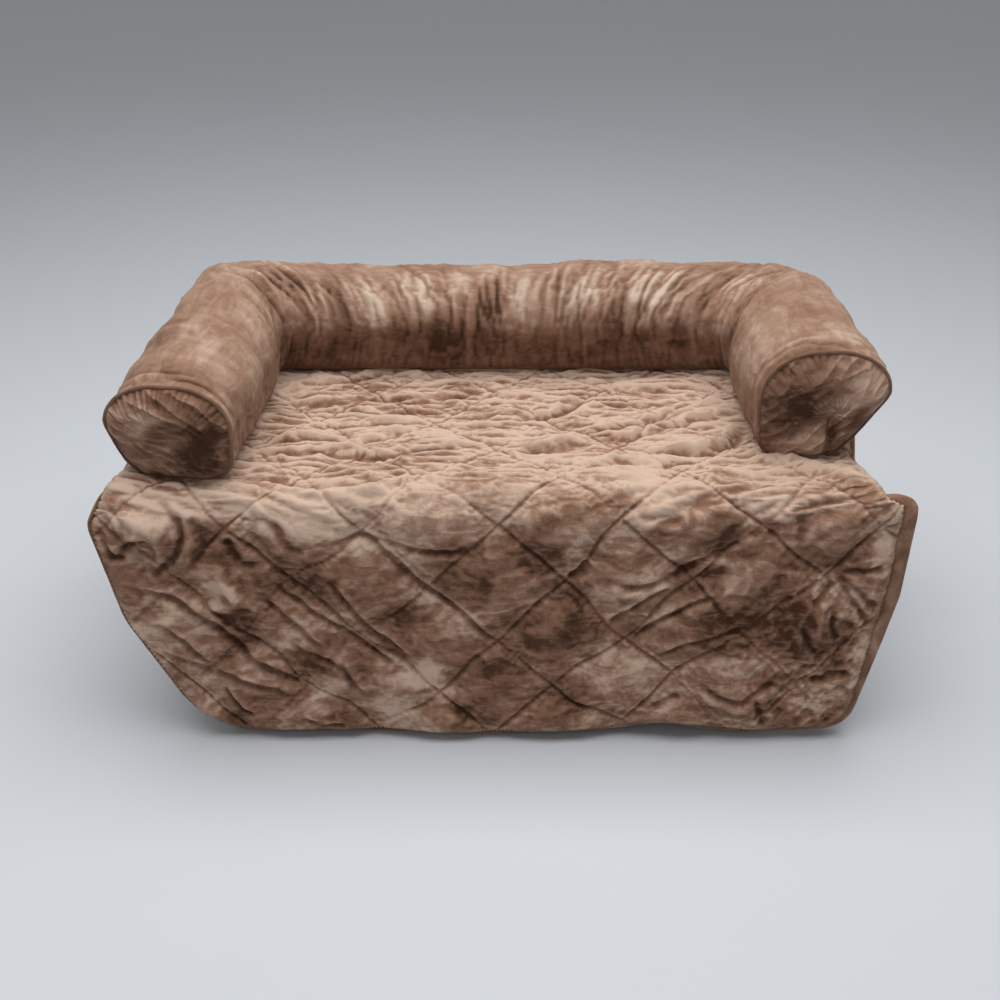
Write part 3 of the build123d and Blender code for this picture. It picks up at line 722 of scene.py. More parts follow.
def brushed(x, s):
    """How light the pile shows: painted light makes it lightest where it lies level on the seat and darker
    down the flap, and brushed patches lighten or darken the flap.
    """
    # Painted light: the level seat is lighter than the hanging flap
    total = 1.15 - 0.96 * smooth(-0.005, 0.12, s)
    for (px, py), wide, tall, light in PATCHES_PX:
        place, beside, below = to_cloth(px, py), to_cloth(px + wide, py), to_cloth(px, py + tall)
        across, down = (x - place[0]) / (beside[0] - place[0]), (s - place[1]) / (below[1] - place[1])
        warp = 0.75 * layered(x / 0.034, s / 0.026, 43, 4)
        total = total + 1.1 * light * smooth(1.15, 0.55, np.hypot(across, down) + warp)
    return total


def nap_mask(x, s):
    """Where the pile is brushed light (above 0) or dark (below 0)."""
    warp = 0.06 * noise(x / 0.12, s / 0.12, 41)
    broad = layered((x + warp) / 0.11, (s - warp) / 0.085, 42, 4)
    streak = layered(x / 0.05, s / 0.018, 47, 2) * 0.5
    return np.clip(broad * 1.6 + streak * 0.6, -1, 1)


# The edge band's outline: how far in from the edge, as a share of its width, and how high up
BAND_PROFILE = (
    (1.2, 0.30), (0.98, 0.62), (0.8, 0.86), (0.5, 0.98), (0.25, 0.93), (0.08, 0.76),
    (0.0, 0.50), (0.05, 0.26), (0.2, 0.10), (0.5, 0.04), (0.9, 0.06), (1.2, 0.14),
)


def build_band(finish):
    """The edge band: a soft strip that wraps the quilt's whole edge, seam to underside, in one ring."""
    path, inward, _ = topper_outline()
    rear = resample(np.array([path[-1], path[0]]), 60)[1:-1]
    path = np.concatenate([path, rear])
    inward = np.concatenate([inward, np.tile([0.0, 1.0], (len(rear), 1))])
    width = band_width(path[:, 0], path[:, 1])
    closed = np.concatenate([np.column_stack([path, inward, width])] * 2)[: len(path) + 1]
    ring = resample(closed, BAND_COUNT + 1)[:-1]
    path, inward, width = ring[:, :2], ring[:, 2:4], ring[:, 4]
    inward /= np.linalg.norm(inward, axis=1, keepdims=True)
    run = np.concatenate([[0], np.cumsum(np.linalg.norm(np.diff(path, axis=0), axis=1))])
    rows = []
    thick = THICK * (0.36 + 0.42 * smooth(0.009, 0.02, width))
    for share, rise in BAND_PROFILE:
        plump = 1 + 0.10 * noise(run / 0.02, share * 2, 51) + 0.06 * noise(run / 0.007, share * 2, 52)
        place = path + inward * (share * width)[:, None]
        rows.append(lay(place[:, 0], place[:, 1], thick * (0.5 + (rise - 0.5) * plump)))
    sides = len(BAND_PROFILE)
    points = np.stack(rows, 1).reshape(-1, 3)
    faces = grid_faces(BAND_COUNT, sides, closed=True, ring=True)
    turn = np.tile(np.arange(sides) * 0.004, BAND_COUNT)
    flat = np.column_stack([np.repeat(run, sides), turn, np.zeros(len(points))])
    nap = layered(flat[:, 0] / 0.035, flat[:, 1] / 0.02, 53) * 0.9 + 0.05
    piece = add_mesh("topper_edge", points, faces, flat=flat, marks={"nap": nap})
    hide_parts("seat_edge_left", "seat_edge_right", "seat_edge_rear", "fold_edge_left",
                "fold_edge_right", "flap_edge_left", "flap_edge_right", "flap_hem")
    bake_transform(piece)
    piece.data.materials.append(finish)


def build_backing(finish):
    """The dark cloth on the topper's underside, a thin sheet that follows every bend."""
    grid = quilt_grid(BACKING_ROWS, BACKING_COLUMNS)
    x, s = grid[..., 0], grid[..., 1]
    upper, lower = lay(x, s, BACKING_HIGH), lay(x, s, BACKING_LOW)
    rows, columns = x.shape
    points = np.concatenate([upper.reshape(-1, 3), lower.reshape(-1, 3)])
    flat = np.concatenate([np.stack([x, s, 0 * x], -1).reshape(-1, 3)] * 2)
    faces = grid_faces(rows, columns) + close_below(rows, columns, 1)
    piece = add_mesh("topper_backing", points, faces, flat=flat)
    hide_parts("seat_backing", "fold_backing", "flap_backing")
    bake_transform(piece)
    piece.data.materials.append(finish)


# The bolster: one stuffed roll along three lengths, with a cap and a piped seam at each front end

# The corners of the roll's middle line, how far each arm leans outward and how long it is
LEFT_CORNER, RIGHT_CORNER = -0.354, 0.371
ROLL_WIDE = 0.144
ROLL_MIDDLE_Y = ROLL_REAR - ROLL_WIDE / 2
LEFT_SPLAY, LEFT_LENGTH = 0.030, 0.342
RIGHT_SPLAY, RIGHT_LENGTH = 0.012, 0.288
# How round the roll's lower and upper corners are, and how high its underside lies
LOW_ROUND, HIGH_ROUND = 0.030, 0.060
ROLL_LOW = SEAT_TOP - 0.002
# How long the roll's cloth is round it, and where the back length starts and ends along its run
GIRTH = 0.47
BACK_FIRST, BACK_LAST = LEFT_LENGTH, LEFT_LENGTH + RIGHT_CORNER - LEFT_CORNER
# Points round the roll, how far apart its rows are, and the points round a cap and a piped seam
ROLL_COUNT, ROLL_STEP = 112, 0.0052
CAP_COUNT, CAP_RINGS, CAP_SHADING_CREST = 360, 90, 0.0016
PIPING_COUNT, PIPING_SIDES, PIPING_RADIUS = 300, 12, 0.0024


def arm(side):
    """An arm's corner, the way it points, forward and a little outward, its outward way and its length."""
    corner, splay, length = (
        (RIGHT_CORNER, RIGHT_SPLAY, RIGHT_LENGTH) if side > 0 else (LEFT_CORNER, LEFT_SPLAY, LEFT_LENGTH)
    )
    way = np.array([side * splay, -math.sqrt(length**2 - splay**2)]) / length
    return np.array([corner, ROLL_MIDDLE_Y]), way, np.array([-way[1], way[0]]) * side, length


def roll_size(place, side):
    """The roll's width and height along an arm, place 0 at the corner and 1 at the front."""
    if side < 0:
        wide = np.interp(place, [0, 0.175, 0.585, 1], [0.144, 0.148, 0.152, 0.148])
        high = np.interp(place, [0, 0.175, 0.585, 1], [0.137, 0.135, 0.125, 0.114])
    else:
        wide = np.interp(place, [0, 0.21, 0.625, 1], [0.144, 0.150, 0.157, 0.151])
        high = np.interp(place, [0, 0.21, 0.625, 1], [0.129, 0.137, 0.139, 0.134])
    return wide, high


def back_high(share):
    """The back length's height, from the left corner to the right one."""
    return np.interp(share, [0, 0.14, 0.41, 0.67, 0.9, 1], [0.137, 0.132, 0.129, 0.137, 0.132, 0.129])


def section(count):
    """The roll's outline, evenly spaced from the middle of its underside: across and up, as shares."""
    half, high = 0.072, 0.132
    corners = [(0, 0), (half, 0), (half, high), (-half, high), (-half, 0), (0, 0)]
    path, _ = rounded(corners, [0, LOW_ROUND, HIGH_ROUND, HIGH_ROUND, LOW_ROUND, 0], 0.002)
    path = resample(path, count + 1)[:-1]
    return path[:, 0] / (2 * half), path[:, 1] / high


# How far each arm's outer side tucks in at its front, and its inner side, as shares of its width
LEFT_TUCK, RIGHT_TUCK, INNER_TUCK = 0.20, 0.36, 0.16


def arm_section(count, side, share):
    """The outline along an arm: towards the front its outer side tucks in over the seat's edge."""
    across, up = section(count)
    tuck = (RIGHT_TUCK if side > 0 else LEFT_TUCK) * smooth(0.25, 1, share)
    low = np.clip(1 - up / 0.62, 0, 1) ** 1.25
    outer, inner = np.clip(across / 0.5, 0, 1), np.clip(-across / 0.5, 0, 1)
    across = across - tuck * low * outer + INNER_TUCK * (1 - 0.8 * smooth(0, 0.15, share)) * low * inner
    if side > 0:
        across = across + 0.04 * smooth(0, 0.3, share) * smooth(0.35, 0.8, up) * smooth(0.2, 0.9, outer)
    return across, up


def roll_grid(count):
    """The roll's rows of points from the left arm's front round to the right arm's, and their places.

    Each place is the way along the roll's middle line, and the way round its outline.
    """
    rows, places = [], []
    run = 0.0

    def mitre(side):
        turn = math.acos(np.clip(np.array([side, 0]) @ arm(side)[1], -1, 1))
        return math.tan(turn / 2)

    def row(centre, sideways, across, up, wide, high):
        points = centre + sideways * (across * wide)[:, None]
        rows.append(np.column_stack([points, ROLL_LOW + up * high]))
        places.append(np.column_stack([np.full(count, run), np.arange(count) / count]))

    for side in (-1, 0, 1):
        if side:
            corner, way, outward, length = arm(side)
            shares = np.linspace(0, 1, int(length / ROLL_STEP) + 1)
            shares = shares[1:] if side > 0 else shares[:0:-1]
            for share in shares:
                wide, high = roll_size(share, side)
                across, up = arm_section(count, side, share)
                back = (across * wide * mitre(side))[:, None] * (1 - share) * -way
                row(corner + way * length * share + back, outward, across, up, wide, high)
                run += ROLL_STEP
        else:
            length = RIGHT_CORNER - LEFT_CORNER
            across, up = arm_section(count, -1, 0)
            for share in np.linspace(0, 1, int(length / ROLL_STEP) + 1):
                shift = across * ROLL_WIDE * (mitre(1) * share - mitre(-1) * (1 - share))
                centre = np.column_stack([LEFT_CORNER + length * share + shift, np.full(count, ROLL_MIDDLE_Y)])
                row(centre, np.array([0, 1]), across, up, ROLL_WIDE, back_high(share))
                run += ROLL_STEP
    return np.array(rows), np.array(places)


def soften(grid, weight, passes):
    """The grid with its rows eased towards the rows beside them where weight is above 0."""
    for _ in range(passes):
        ahead = np.concatenate([grid[1:], grid[-1:]])
        behind = np.concatenate([grid[:1], grid[:-1]])
        grid = grid + ((ahead + behind) / 2 - grid) * weight[..., None]
    return grid


def normals(grid):
    """The outward way at each point of a grid whose columns close round a roll."""
    along = np.gradient(grid, axis=0)
    around = np.roll(grid, -1, axis=1) - np.roll(grid, 1, axis=1)
    out = np.cross(around, along)
    return out / np.maximum(np.linalg.norm(out, axis=-1, keepdims=True), 1e-12)


def hoops(run, girth, pitch, reach, seed):
    """Gathered folds that lie round the roll: round puffs with sharp creases between them."""
    lean = 0.25 * pitch * noise(run / 0.07, girth * 6, seed + 5)
    return puffs((run + lean) / pitch, girth / reach, seed)


def roll_relief(places, settings):
    """How far the gathers and folds stand out of the roll's plain form."""
    run, girth = places[..., 0], places[..., 1]
    at_back = window(BACK_FIRST - 0.05, BACK_FIRST + 0.03, BACK_LAST - 0.03, BACK_LAST + 0.05, run)
    near = bell(run, BACK_FIRST, 0.075) + bell(run, BACK_LAST, 0.075)
    patchy = 0.75 + 0.5 * noise(run / 0.09, girth * 3, 70)
    fan = 0.12 * (run - (BACK_FIRST + BACK_LAST) / 2) * (girth - 0.7)
    fine = smooth(-0.2, 0.5, noise(run / 0.11, girth * 2.5, 78))
    gathers = (
        1.1 * hoops(run + fan, girth, 0.046, 0.30, 71)
        + (0.35 + 0.7 * fine) * hoops(run + fan, girth, 0.021, 0.20, 72)
        + 0.5 * fine * hoops(run, girth, 0.010, 0.10, 73)
    ) / 2.0 - 0.5
    inner = smooth(0.47, 0.60, girth) * (1 - 0.9 * smooth(0.63, 0.75, girth))
    amount = settings.gather * patchy * (at_back * (0.12 + 1.45 * inner) + 0.8 * near * (0.12 + 0.88 * inner))
    slack = 0.0042 * layered(run / 0.085, girth * 4, 77, 3)
    seam = np.minimum(run, places[..., 0].max() - run)
    cuff = 0.004 * (hoops(run, girth, 0.02, 0.2, 79) - 0.6) * bell(seam, 0.022, 0.016)
    return amount * gathers + slack + cuff


# How much of its girth the roll's cloth is drawn together to while it settles
GIRTH_DRAW = 0.40


def roll_buckles(places, relief, free):
    """The relief after its loose cloth has settled, on the roll's cover laid out flat.

    The cloth is drawn together round the roll meanwhile, which draws the folds out round it.
    """
    run, girth = places[..., 0], places[..., 1]
    flat = np.stack([run, girth * GIRTH * GIRTH_DRAW, relief], -1)
    at_back = window(BACK_FIRST - 0.08, BACK_FIRST + 0.02, BACK_LAST - 0.02, BACK_LAST + 0.08, run)
    hold = np.maximum(1 - free, LEAST_HOLD)
    hold[0] = hold[-1] = 1
    patchy = smooth(-0.5, 0.4, noise(run / 0.07, girth * 3, 84))
    loose = smooth(0.45, 0.60, girth) * (1 - 0.8 * smooth(0.64, 0.75, girth))
    slack = 0.006 + 0.045 * at_back * loose * patchy
    points = settle(flat.reshape(-1, 3), grid_faces(*run.shape), hold.ravel(), slack.ravel(), 1.5)
    return points.reshape(flat.shape)[..., 2]


# Patches of brushed pile on the back length: across, place round the roll, how far each reaches both
# ways and how light it is
ROLL_PATCHES = (
    (0.225, 0.60, 0.045, 0.06, 0.9), (-0.020, 0.66, 0.030, 0.10, -1.0),
    (-0.100, 0.73, 0.055, 0.05, -0.9), (-0.125, 0.60, 0.022, 0.08, 0.7),
    (-0.205, 0.63, 0.030, 0.08, 0.7), (-0.320, 0.55, 0.040, 0.06, -0.8),
    (-0.260, 0.68, 0.022, 0.09, -0.8), (0.080, 0.62, 0.025, 0.10, -0.5),
    (0.026, 0.60, 0.020, 0.08, 0.6), (0.120, 0.62, 0.018, 0.08, 0.6),
    (0.317, 0.62, 0.030, 0.10, -0.6), (0.250, 0.72, 0.055, 0.05, -0.8),
    (0.170, 0.70, 0.030, 0.07, -0.5), (-0.165, 0.68, 0.020, 0.08, -0.6),
    (-0.060, 0.58, 0.030, 0.05, 0.4), (-0.655, 0.43, 0.028, 0.07, -0.7),
    (-0.672, 0.57, 0.018, 0.07, -0.8), (-0.560, 0.41, 0.040, 0.05, -0.6),
    (-0.600, 0.55, 0.045, 0.06, 0.3), (-0.470, 0.52, 0.050, 0.08, 0.1),
    (-0.380, 0.60, 0.030, 0.08, -0.6), (0.405, 0.60, 0.030, 0.06, -0.8),
    (0.430, 0.70, 0.030, 0.05, -0.5), (0.500, 0.60, 0.045, 0.05, 0.2),
    (0.560, 0.46, 0.060, 0.06, 0.2), (0.600, 0.69, 0.035, 0.06, 0.2),
    (0.640, 0.53, 0.018, 0.08, -0.6),
)


def roll_brushing_and_shade(run, girth):
    """How light the pile of the bolster shows: brushed patches, and painted shade along the low front of the
    back length where it meets the seat.
    """
    x = run - LEFT_LENGTH + LEFT_CORNER
    # Painted shade: the low front of the back length, just above the seat, is darkened
    total = -0.5 * smooth(0.72, 0.79, girth) * (np.abs(x) < 0.36)
    for place, turn, wide, tall, light in ROLL_PATCHES:
        warp = 0.7 * layered(x / 0.03, girth / 0.08, 87, 4)
        total = total + light * smooth(1.2, 0.5, np.hypot((x - place) / wide, (girth - turn) / tall) + warp)
    return total


def build_roll(settings, finish):
    """The bolster's cover and fill as one soft roll round the back and both sides."""
    grid, places = roll_grid(ROLL_COUNT)
    run = places[..., 0]
    near = bell(run, BACK_FIRST, 0.03) + bell(run, BACK_LAST, 0.03)
    grid = soften(grid, np.clip(near, 0, 1) * 0.9, 26)
    free = smooth(0.004, 0.03, grid[..., 2] - ROLL_LOW) * (1 - rear_flat(grid))
    free *= smooth(0, 0.012, np.minimum(run, run.max() - run))
    relief = roll_relief(places, settings) * free
    relief = roll_buckles(places, relief, free)
    grid = grid + normals(grid) * relief[..., None]
    fine = refine(np.concatenate([grid, grid[:, :1]], 1))[:, :-1]
    places = refine(np.concatenate([places, places[:, :1] + [0, 1]], 1))[:, :-1]
    along, girth = places[..., 0], places[..., 1]
    free = smooth(0.004, 0.02, fine[..., 2] - ROLL_LOW) * (1 - rear_flat(fine))
    small = 0.0011 * creases(along / 0.02, girth * 22, 81) + 0.0010 * noise(along / 0.008, girth * 18, 82)
    plain = np.stack([blurred(fine[..., k], 10) for k in range(3)], -1)
    way = normals(fine)
    # Painted light and shade: the gathers' crests are lightened and their creases darkened
    relief = np.clip(np.sum((fine - plain) * way, -1) / SHADING_CREST, -1, 1)
    points, faces = closed_roll(fine + way * (small * free)[..., None])
    flat = np.stack([along, girth * 0.5, 0 * along], -1).reshape(-1, 3)
    flat = np.concatenate([flat, flat[:2]])
    hoop = layered(flat[:, 0] / 0.030, flat[:, 1] / 0.13, 83, 3)
    nap = nap_mask(flat[:, 0] + 5, flat[:, 1]) * 0.25 + 0.4 * hoop + 0.12
    # Painted light: the faces that turn upward are lightened
    upper = smooth(0.3, 0.8, np.sum(way * [0, 0, 1], -1)) * 0.22 - 0.06 + roll_brushing_and_shade(along, girth)
    nap += np.concatenate([(0.8 * relief + upper).ravel(), [0, 0]])
    piece = add_mesh("bolster_cover", points, faces, "topper", flat=flat, marks={"nap": nap})
    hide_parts("bolster_back_cover", "bolster_back_fill", "left_arm_cover", "left_arm_fill",
                "right_arm_cover", "right_arm_fill")
    piece.data.materials.append(finish)


def rear_flat(grid):
    """1 where the roll's rear face stays flat for the zip."""
    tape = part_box("bolster_zip_tape")
    beside = smooth(tape[1].x + 0.03, tape[1].x, np.abs(grid[..., 0]))
    level = 1 - smooth(0.014, 0.03, np.abs(grid[..., 2] - (tape[0].z + tape[1].z) / 2))
    return beside * level * (grid[..., 1] > ROLL_MIDDLE_Y)


def front_ring(side, count, inset, ahead):
    """The outline of an arm's front end, drawn in by inset and moved forward by ahead."""
    across, up = arm_section(count, side, 1.0)
    wide, high = roll_size(1.0, side)
    corner, way, outward, length = arm(side)
    middle = (across.max() + across.min()) / 2
    across = middle + (across - middle) * (1 - 2 * inset / wide)
    plan = corner + way * length + outward * (across * wide)[:, None]
    plan = plan + way * np.reshape(ahead, (-1, 1))
    level = ROLL_LOW + high / 2 + (up * high - high / 2) * (1 - 2 * inset / high)
    return np.column_stack([plan, level])


def cap_relief(side, turn, share):
    """The soft relief of an end cap: pleats from its seam, and on the right arm a gathered middle."""
    angle = turn * 2 * math.pi
    x, y = np.cos(angle) * (1 - share), np.sin(angle) * (1 - share)
    edge = smooth(0.0, 0.06, share)
    pleats = puffs(turn * 46, share * 2 + 0 * turn, 91 + side) - 0.5
    upper = 0.35 + 0.65 * window(0.25, 0.45, 0.62, 0.8, turn)
    relief = 0.0042 * pleats * (1 - share) ** 2.2 * upper
    if side < 0:
        tight = window(0.28, 0.34, 0.47, 0.54, turn) * (1 - share) ** 1.6
        relief += 0.0060 * (puffs(turn * 54, 0.4 * share + 0 * turn, 92) - 0.5) * tight
    if side > 0:
        pit = np.hypot(x - 0.05, y - 0.05)
        spoke = np.arctan2(y - 0.05, x - 0.05) / (2 * math.pi)
        spokes = puffs(spoke * 26 + 40, 0 * spoke, 96) - 0.5
        relief += 0.0040 * spokes * bell(pit, 0, 0.33) * smooth(0.02, 0.10, pit)
        relief -= 0.0080 * bell(pit, 0, 0.10)
    folds = 0.0045 * (creases((x - y) * 1.1 + side * 3, (x + y) * 2.6, 94) - 0.4)
    lumps = 0.0045 * layered(x * 1.8 + side * 5, y * 1.8, 93, 3)
    return (relief + folds + lumps) * edge


# Patches of brushed pile on the two end caps, as shares of the cap from its middle: across, up, reach
# and how light it is
CAP_PATCHES = {
    -1: (
        (0.45, -0.05, 0.42, -1.1), (0.30, -0.45, 0.30, -0.8), (-0.55, 0.30, 0.45, 0.8),
        (-0.15, 0.50, 0.30, 0.6), (-0.55, -0.30, 0.40, 0.35), (0.05, -0.15, 0.14, 0.7),
        (0.55, 0.55, 0.25, -0.3),
    ),
    1: (
        (-0.42, 0.12, 0.45, -0.9), (-0.15, 0.50, 0.30, -0.5), (0.60, 0.30, 0.55, 1.6),
        (-0.25, -0.58, 0.45, 1.5), (0.20, -0.32, 0.20, -1.6), (0.56, -0.05, 0.17, -1.4),
        (0.35, -0.66, 0.22, -1.0), (0.08, 0.05, 0.16, 1.2),
    ),
}


def cap_brushed(side, turn, share):
    """How light the pile of an end cap is brushed."""
    angle = turn * 2 * math.pi
    x, y = np.sin(angle) * (1 - share) * side, -np.cos(angle) * (1 - share)
    total = 0 * x
    for across, up, reach, light in CAP_PATCHES[side]:
        warp = 0.6 * layered(x * 4 + 9, y * 4 + side, 99, 4)
        total = total + light * smooth(1.3, 0.3, np.hypot(x - across, y - up) / reach + warp)
    return total


def build_cap(side, finish):
    """An arm's round end cap, crowned, with gathers running in from its piped seam."""
    name = "right_arm" if side > 0 else "left_arm"
    turn = np.arange(CAP_COUNT) / CAP_COUNT
    high = roll_size(1.0, side)[1]
    rows = [front_ring(side, CAP_COUNT, 0.0, -0.006)]
    for share in np.linspace(0, 1, CAP_RINGS):
        crown = 0.019 * (1 - (1 - min(share * 1.9, 1)) ** 2.2)
        inset = share * high / 2 * 0.985
        rows.append(front_ring(side, CAP_COUNT, inset, crown + cap_relief(side, turn, share)))
    grid = np.array(rows)
    points, faces = closed_roll(grid)
    flat = np.column_stack([points[:, 0], points[:, 2], 0 * points[:, 0]])
    raised = grid[..., 1]
    # Painted light and shade: the cap's pleat crests are lightened and its hollows darkened
    relief = np.clip((blurred(raised, 12) - raised) / CAP_SHADING_CREST, -1, 1).ravel()
    nap = layered(flat[:, 0] / 0.05 + side * 3, flat[:, 1] / 0.04, 95, 4) * 0.5
    shares = np.concatenate([[0], np.linspace(0, 1, CAP_RINGS)])
    patches = cap_brushed(side, turn[None, :], shares[:, None]).ravel()
    nap += np.concatenate([0.7 * relief + patches, [0, 0]])
    piece = add_mesh(f"{name}_cap", points, faces, "topper", flat=flat, marks={"nap": nap})
    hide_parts(f"{name}_end_cap")
    piece.data.materials.append(finish)


def tube(path, radius, sides):
    """A closed tube round a closed path: its points and faces."""
    ahead = np.roll(path, -1, 0) - np.roll(path, 1, 0)
    ahead /= np.linalg.norm(ahead, axis=1, keepdims=True)
    centre = path.mean(0)
    out = path - centre
    out -= ahead * np.sum(out * ahead, 1, keepdims=True)
    out /= np.linalg.norm(out, axis=1, keepdims=True)
    other = np.cross(ahead, out)
    angle = np.arange(sides) / sides * 2 * math.pi
    grid = path[:, None] + radius[:, None, None] * (
        out[:, None] * np.cos(angle)[None, :, None] + other[:, None] * np.sin(angle)[None, :, None]
    )
    return grid.reshape(-1, 3), grid_faces(len(path), sides, closed=True, ring=True)


def build_piping(side, finish):
    """The piped seam round an arm's front end."""
    name = "right_arm" if side > 0 else "left_arm"
    place = np.arange(PIPING_COUNT) / PIPING_COUNT
    path = front_ring(side, PIPING_COUNT, -0.0005, 0.0)
    radius = PIPING_RADIUS * (1 + 0.10 * noise(place * 60, place * 0, 97))
    points, faces = tube(path, radius, PIPING_SIDES)
    row, turn = np.divmod(np.arange(len(points)), PIPING_SIDES)
    flat = np.column_stack([row * 0.0017, turn * 0.0018, 0 * row])
    nap = noise(flat[:, 0] / 0.02, flat[:, 1] / 0.02, 98) * 0.4 - 0.15
    piece = add_mesh(f"{name}_piping_cord", points, faces, "topper", flat=flat, marks={"nap": nap})
    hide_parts(f"{name}_piping")
    piece.data.materials.append(finish)


# The base's cover: how round its long seams are, and its rows from side to side, points round each
# and rings on each end
SEAM_ROUND = 0.004
BASE_ROWS, BASE_COUNT, BASE_RINGS = 121, 260, 14


def end_rings(rim, side):
    """Rings that narrow from the rim of the cover's side to its middle, softly bulged."""
    share = np.arange(1, BASE_RINGS)[:, None, None] / BASE_RINGS
    rings = rim + (rim.mean(0) - rim) * share
    bulge = smooth(0, 0.2, share[..., 0]) * layered(rings[..., 1] / 0.06, rings[..., 2] / 0.05, 103)
    rings[..., 0] += side * 0.0015 * bulge
    return rings


def build_base_cover(finish):
    """The base's sewn cover, softly bulged between its seams, with its foam inside."""
    foot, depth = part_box("base_bottom_panel")[1].x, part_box("base_bottom_panel")[1].y
    top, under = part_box("base_top_panel")[1].z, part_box("base_front_panel")[0].z
    half_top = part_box("base_right_panel")[1].x
    front_round = FOLD_ROUND - THICK - 0.0006
    loop = [(0, under), (depth, under), (depth, top), (-depth, top), (-depth, under), (0, under)]
    path, _ = rounded(loop, [0, SEAM_ROUND, SEAM_ROUND, front_round, SEAM_ROUND, 0], 0.001)
    around = resample(path, BASE_COUNT)[:-1]
    half = foot + (half_top - foot) * (around[:, 1] / top)
    centre = np.array([0, (top + under) / 2])
    rows = []
    for share in np.linspace(-1, 1, BASE_ROWS):
        pull = 0.02 * smooth(0.985, 1.0, abs(share))
        rows.append(np.column_stack([share * half, centre + (around - centre) * (1 - pull)]))
    grid = np.array(rows)
    x, y, z = grid[..., 0], grid[..., 1], grid[..., 2]
    ripple = 0.0012 * layered(x / 0.08, (y + z) / 0.05, 101) - 0.0012
    grid[..., 1] += ripple * np.sign(y) * (np.abs(y) > depth - 0.002) * smooth(0, 0.03, z - under)
    middles = grid[0].mean(0), grid[-1].mean(0)
    grid = np.concatenate([end_rings(grid[0], -1)[::-1], grid, end_rings(grid[-1], 1)])
    points, faces = closed_roll(grid, middles)
    flat = np.column_stack([points[:, 0] + points[:, 1], points[:, 2] + points[:, 1] * 0.3, points[:, 1]])
    nap = layered(flat[:, 0] / 0.07, flat[:, 1] / 0.05, 104) * 0.45 - 0.05
    piece = add_mesh("base_cover", points, faces, "base", flat=flat, marks={"nap": nap})
    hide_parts("base_top_panel", "base_front_panel", "base_rear_panel", "base_left_panel",
                "base_right_panel", "base_foam_core", "base_comfort_foam")
    piece.data.materials.append(finish)


# Finishes


def new_group(name, inputs, outputs):
    """An empty shader node group with its sockets, and its input and output nodes."""
    group = bpy.data.node_groups.new(name, "ShaderNodeTree")
    for socket, kind, value in inputs:
        made = group.interface.new_socket(socket, in_out="INPUT", socket_type=kind)
        if value is not None:
            made.default_value = value
    for socket, kind in outputs:
        group.interface.new_socket(socket, in_out="OUTPUT", socket_type=kind)
    return group, group.nodes.new("NodeGroupInput"), group.nodes.new("NodeGroupOutput")


def fill(tree, node, values):
    """Links or sets a node's inputs, which are given by name or number."""
    for key, value in values.items():
        if isinstance(value, bpy.types.NodeSocket):
            tree.links.new(value, node.inputs[key])
        else:
            node.inputs[key].default_value = value
    return node


def math_node(tree, kind, *values):
    """A Math node with its inputs linked or set, and its output."""
    node = tree.nodes.new("ShaderNodeMath")
    node.operation = kind
    return fill(tree, node, dict(enumerate(values))).outputs[0]


def noise_node(tree, place, scale, detail, rough=0.5, distort=0.0):
    """A Noise texture at a scale a metre, and its value."""
    values = {"Vector": place, "Scale": scale, "Detail": detail, "Roughness": rough, "Distortion": distort}
    return fill(tree, tree.nodes.new("ShaderNodeTexNoise"), values).outputs[0]


def stretched(tree, place, scale):
    """A place scaled by a number an axis, so that what is drawn there is stretched."""
    node = tree.nodes.new("ShaderNodeVectorMath")
    node.operation = "MULTIPLY"
    return fill(tree, node, {0: place, 1: scale}).outputs[0]


def mixed(tree, share, first, second):
    """A colour between two, by a share."""
    node = tree.nodes.new("ShaderNodeMix")
    node.data_type = "RGBA"
    return fill(tree, node, {"Factor": share, 6: first, 7: second}).outputs[2]


def ramp(tree, value, low, high):
    """0 where value is below low, 1 above high, and a smooth step between."""
    node = tree.nodes.new("ShaderNodeMapRange")
    node.interpolation_type = "SMOOTHSTEP"
    return fill(tree, node, {"Value": value, "From Min": low, "From Max": high}).outputs[0]


# How fine the marks on the pile are, a metre: patches, smears, tufts and single fibres
PATCH_SCALE, SMEAR_SCALE, TUFT_SCALE, FIBRE_SCALE = 9.0, 34.0, 190.0, 950.0


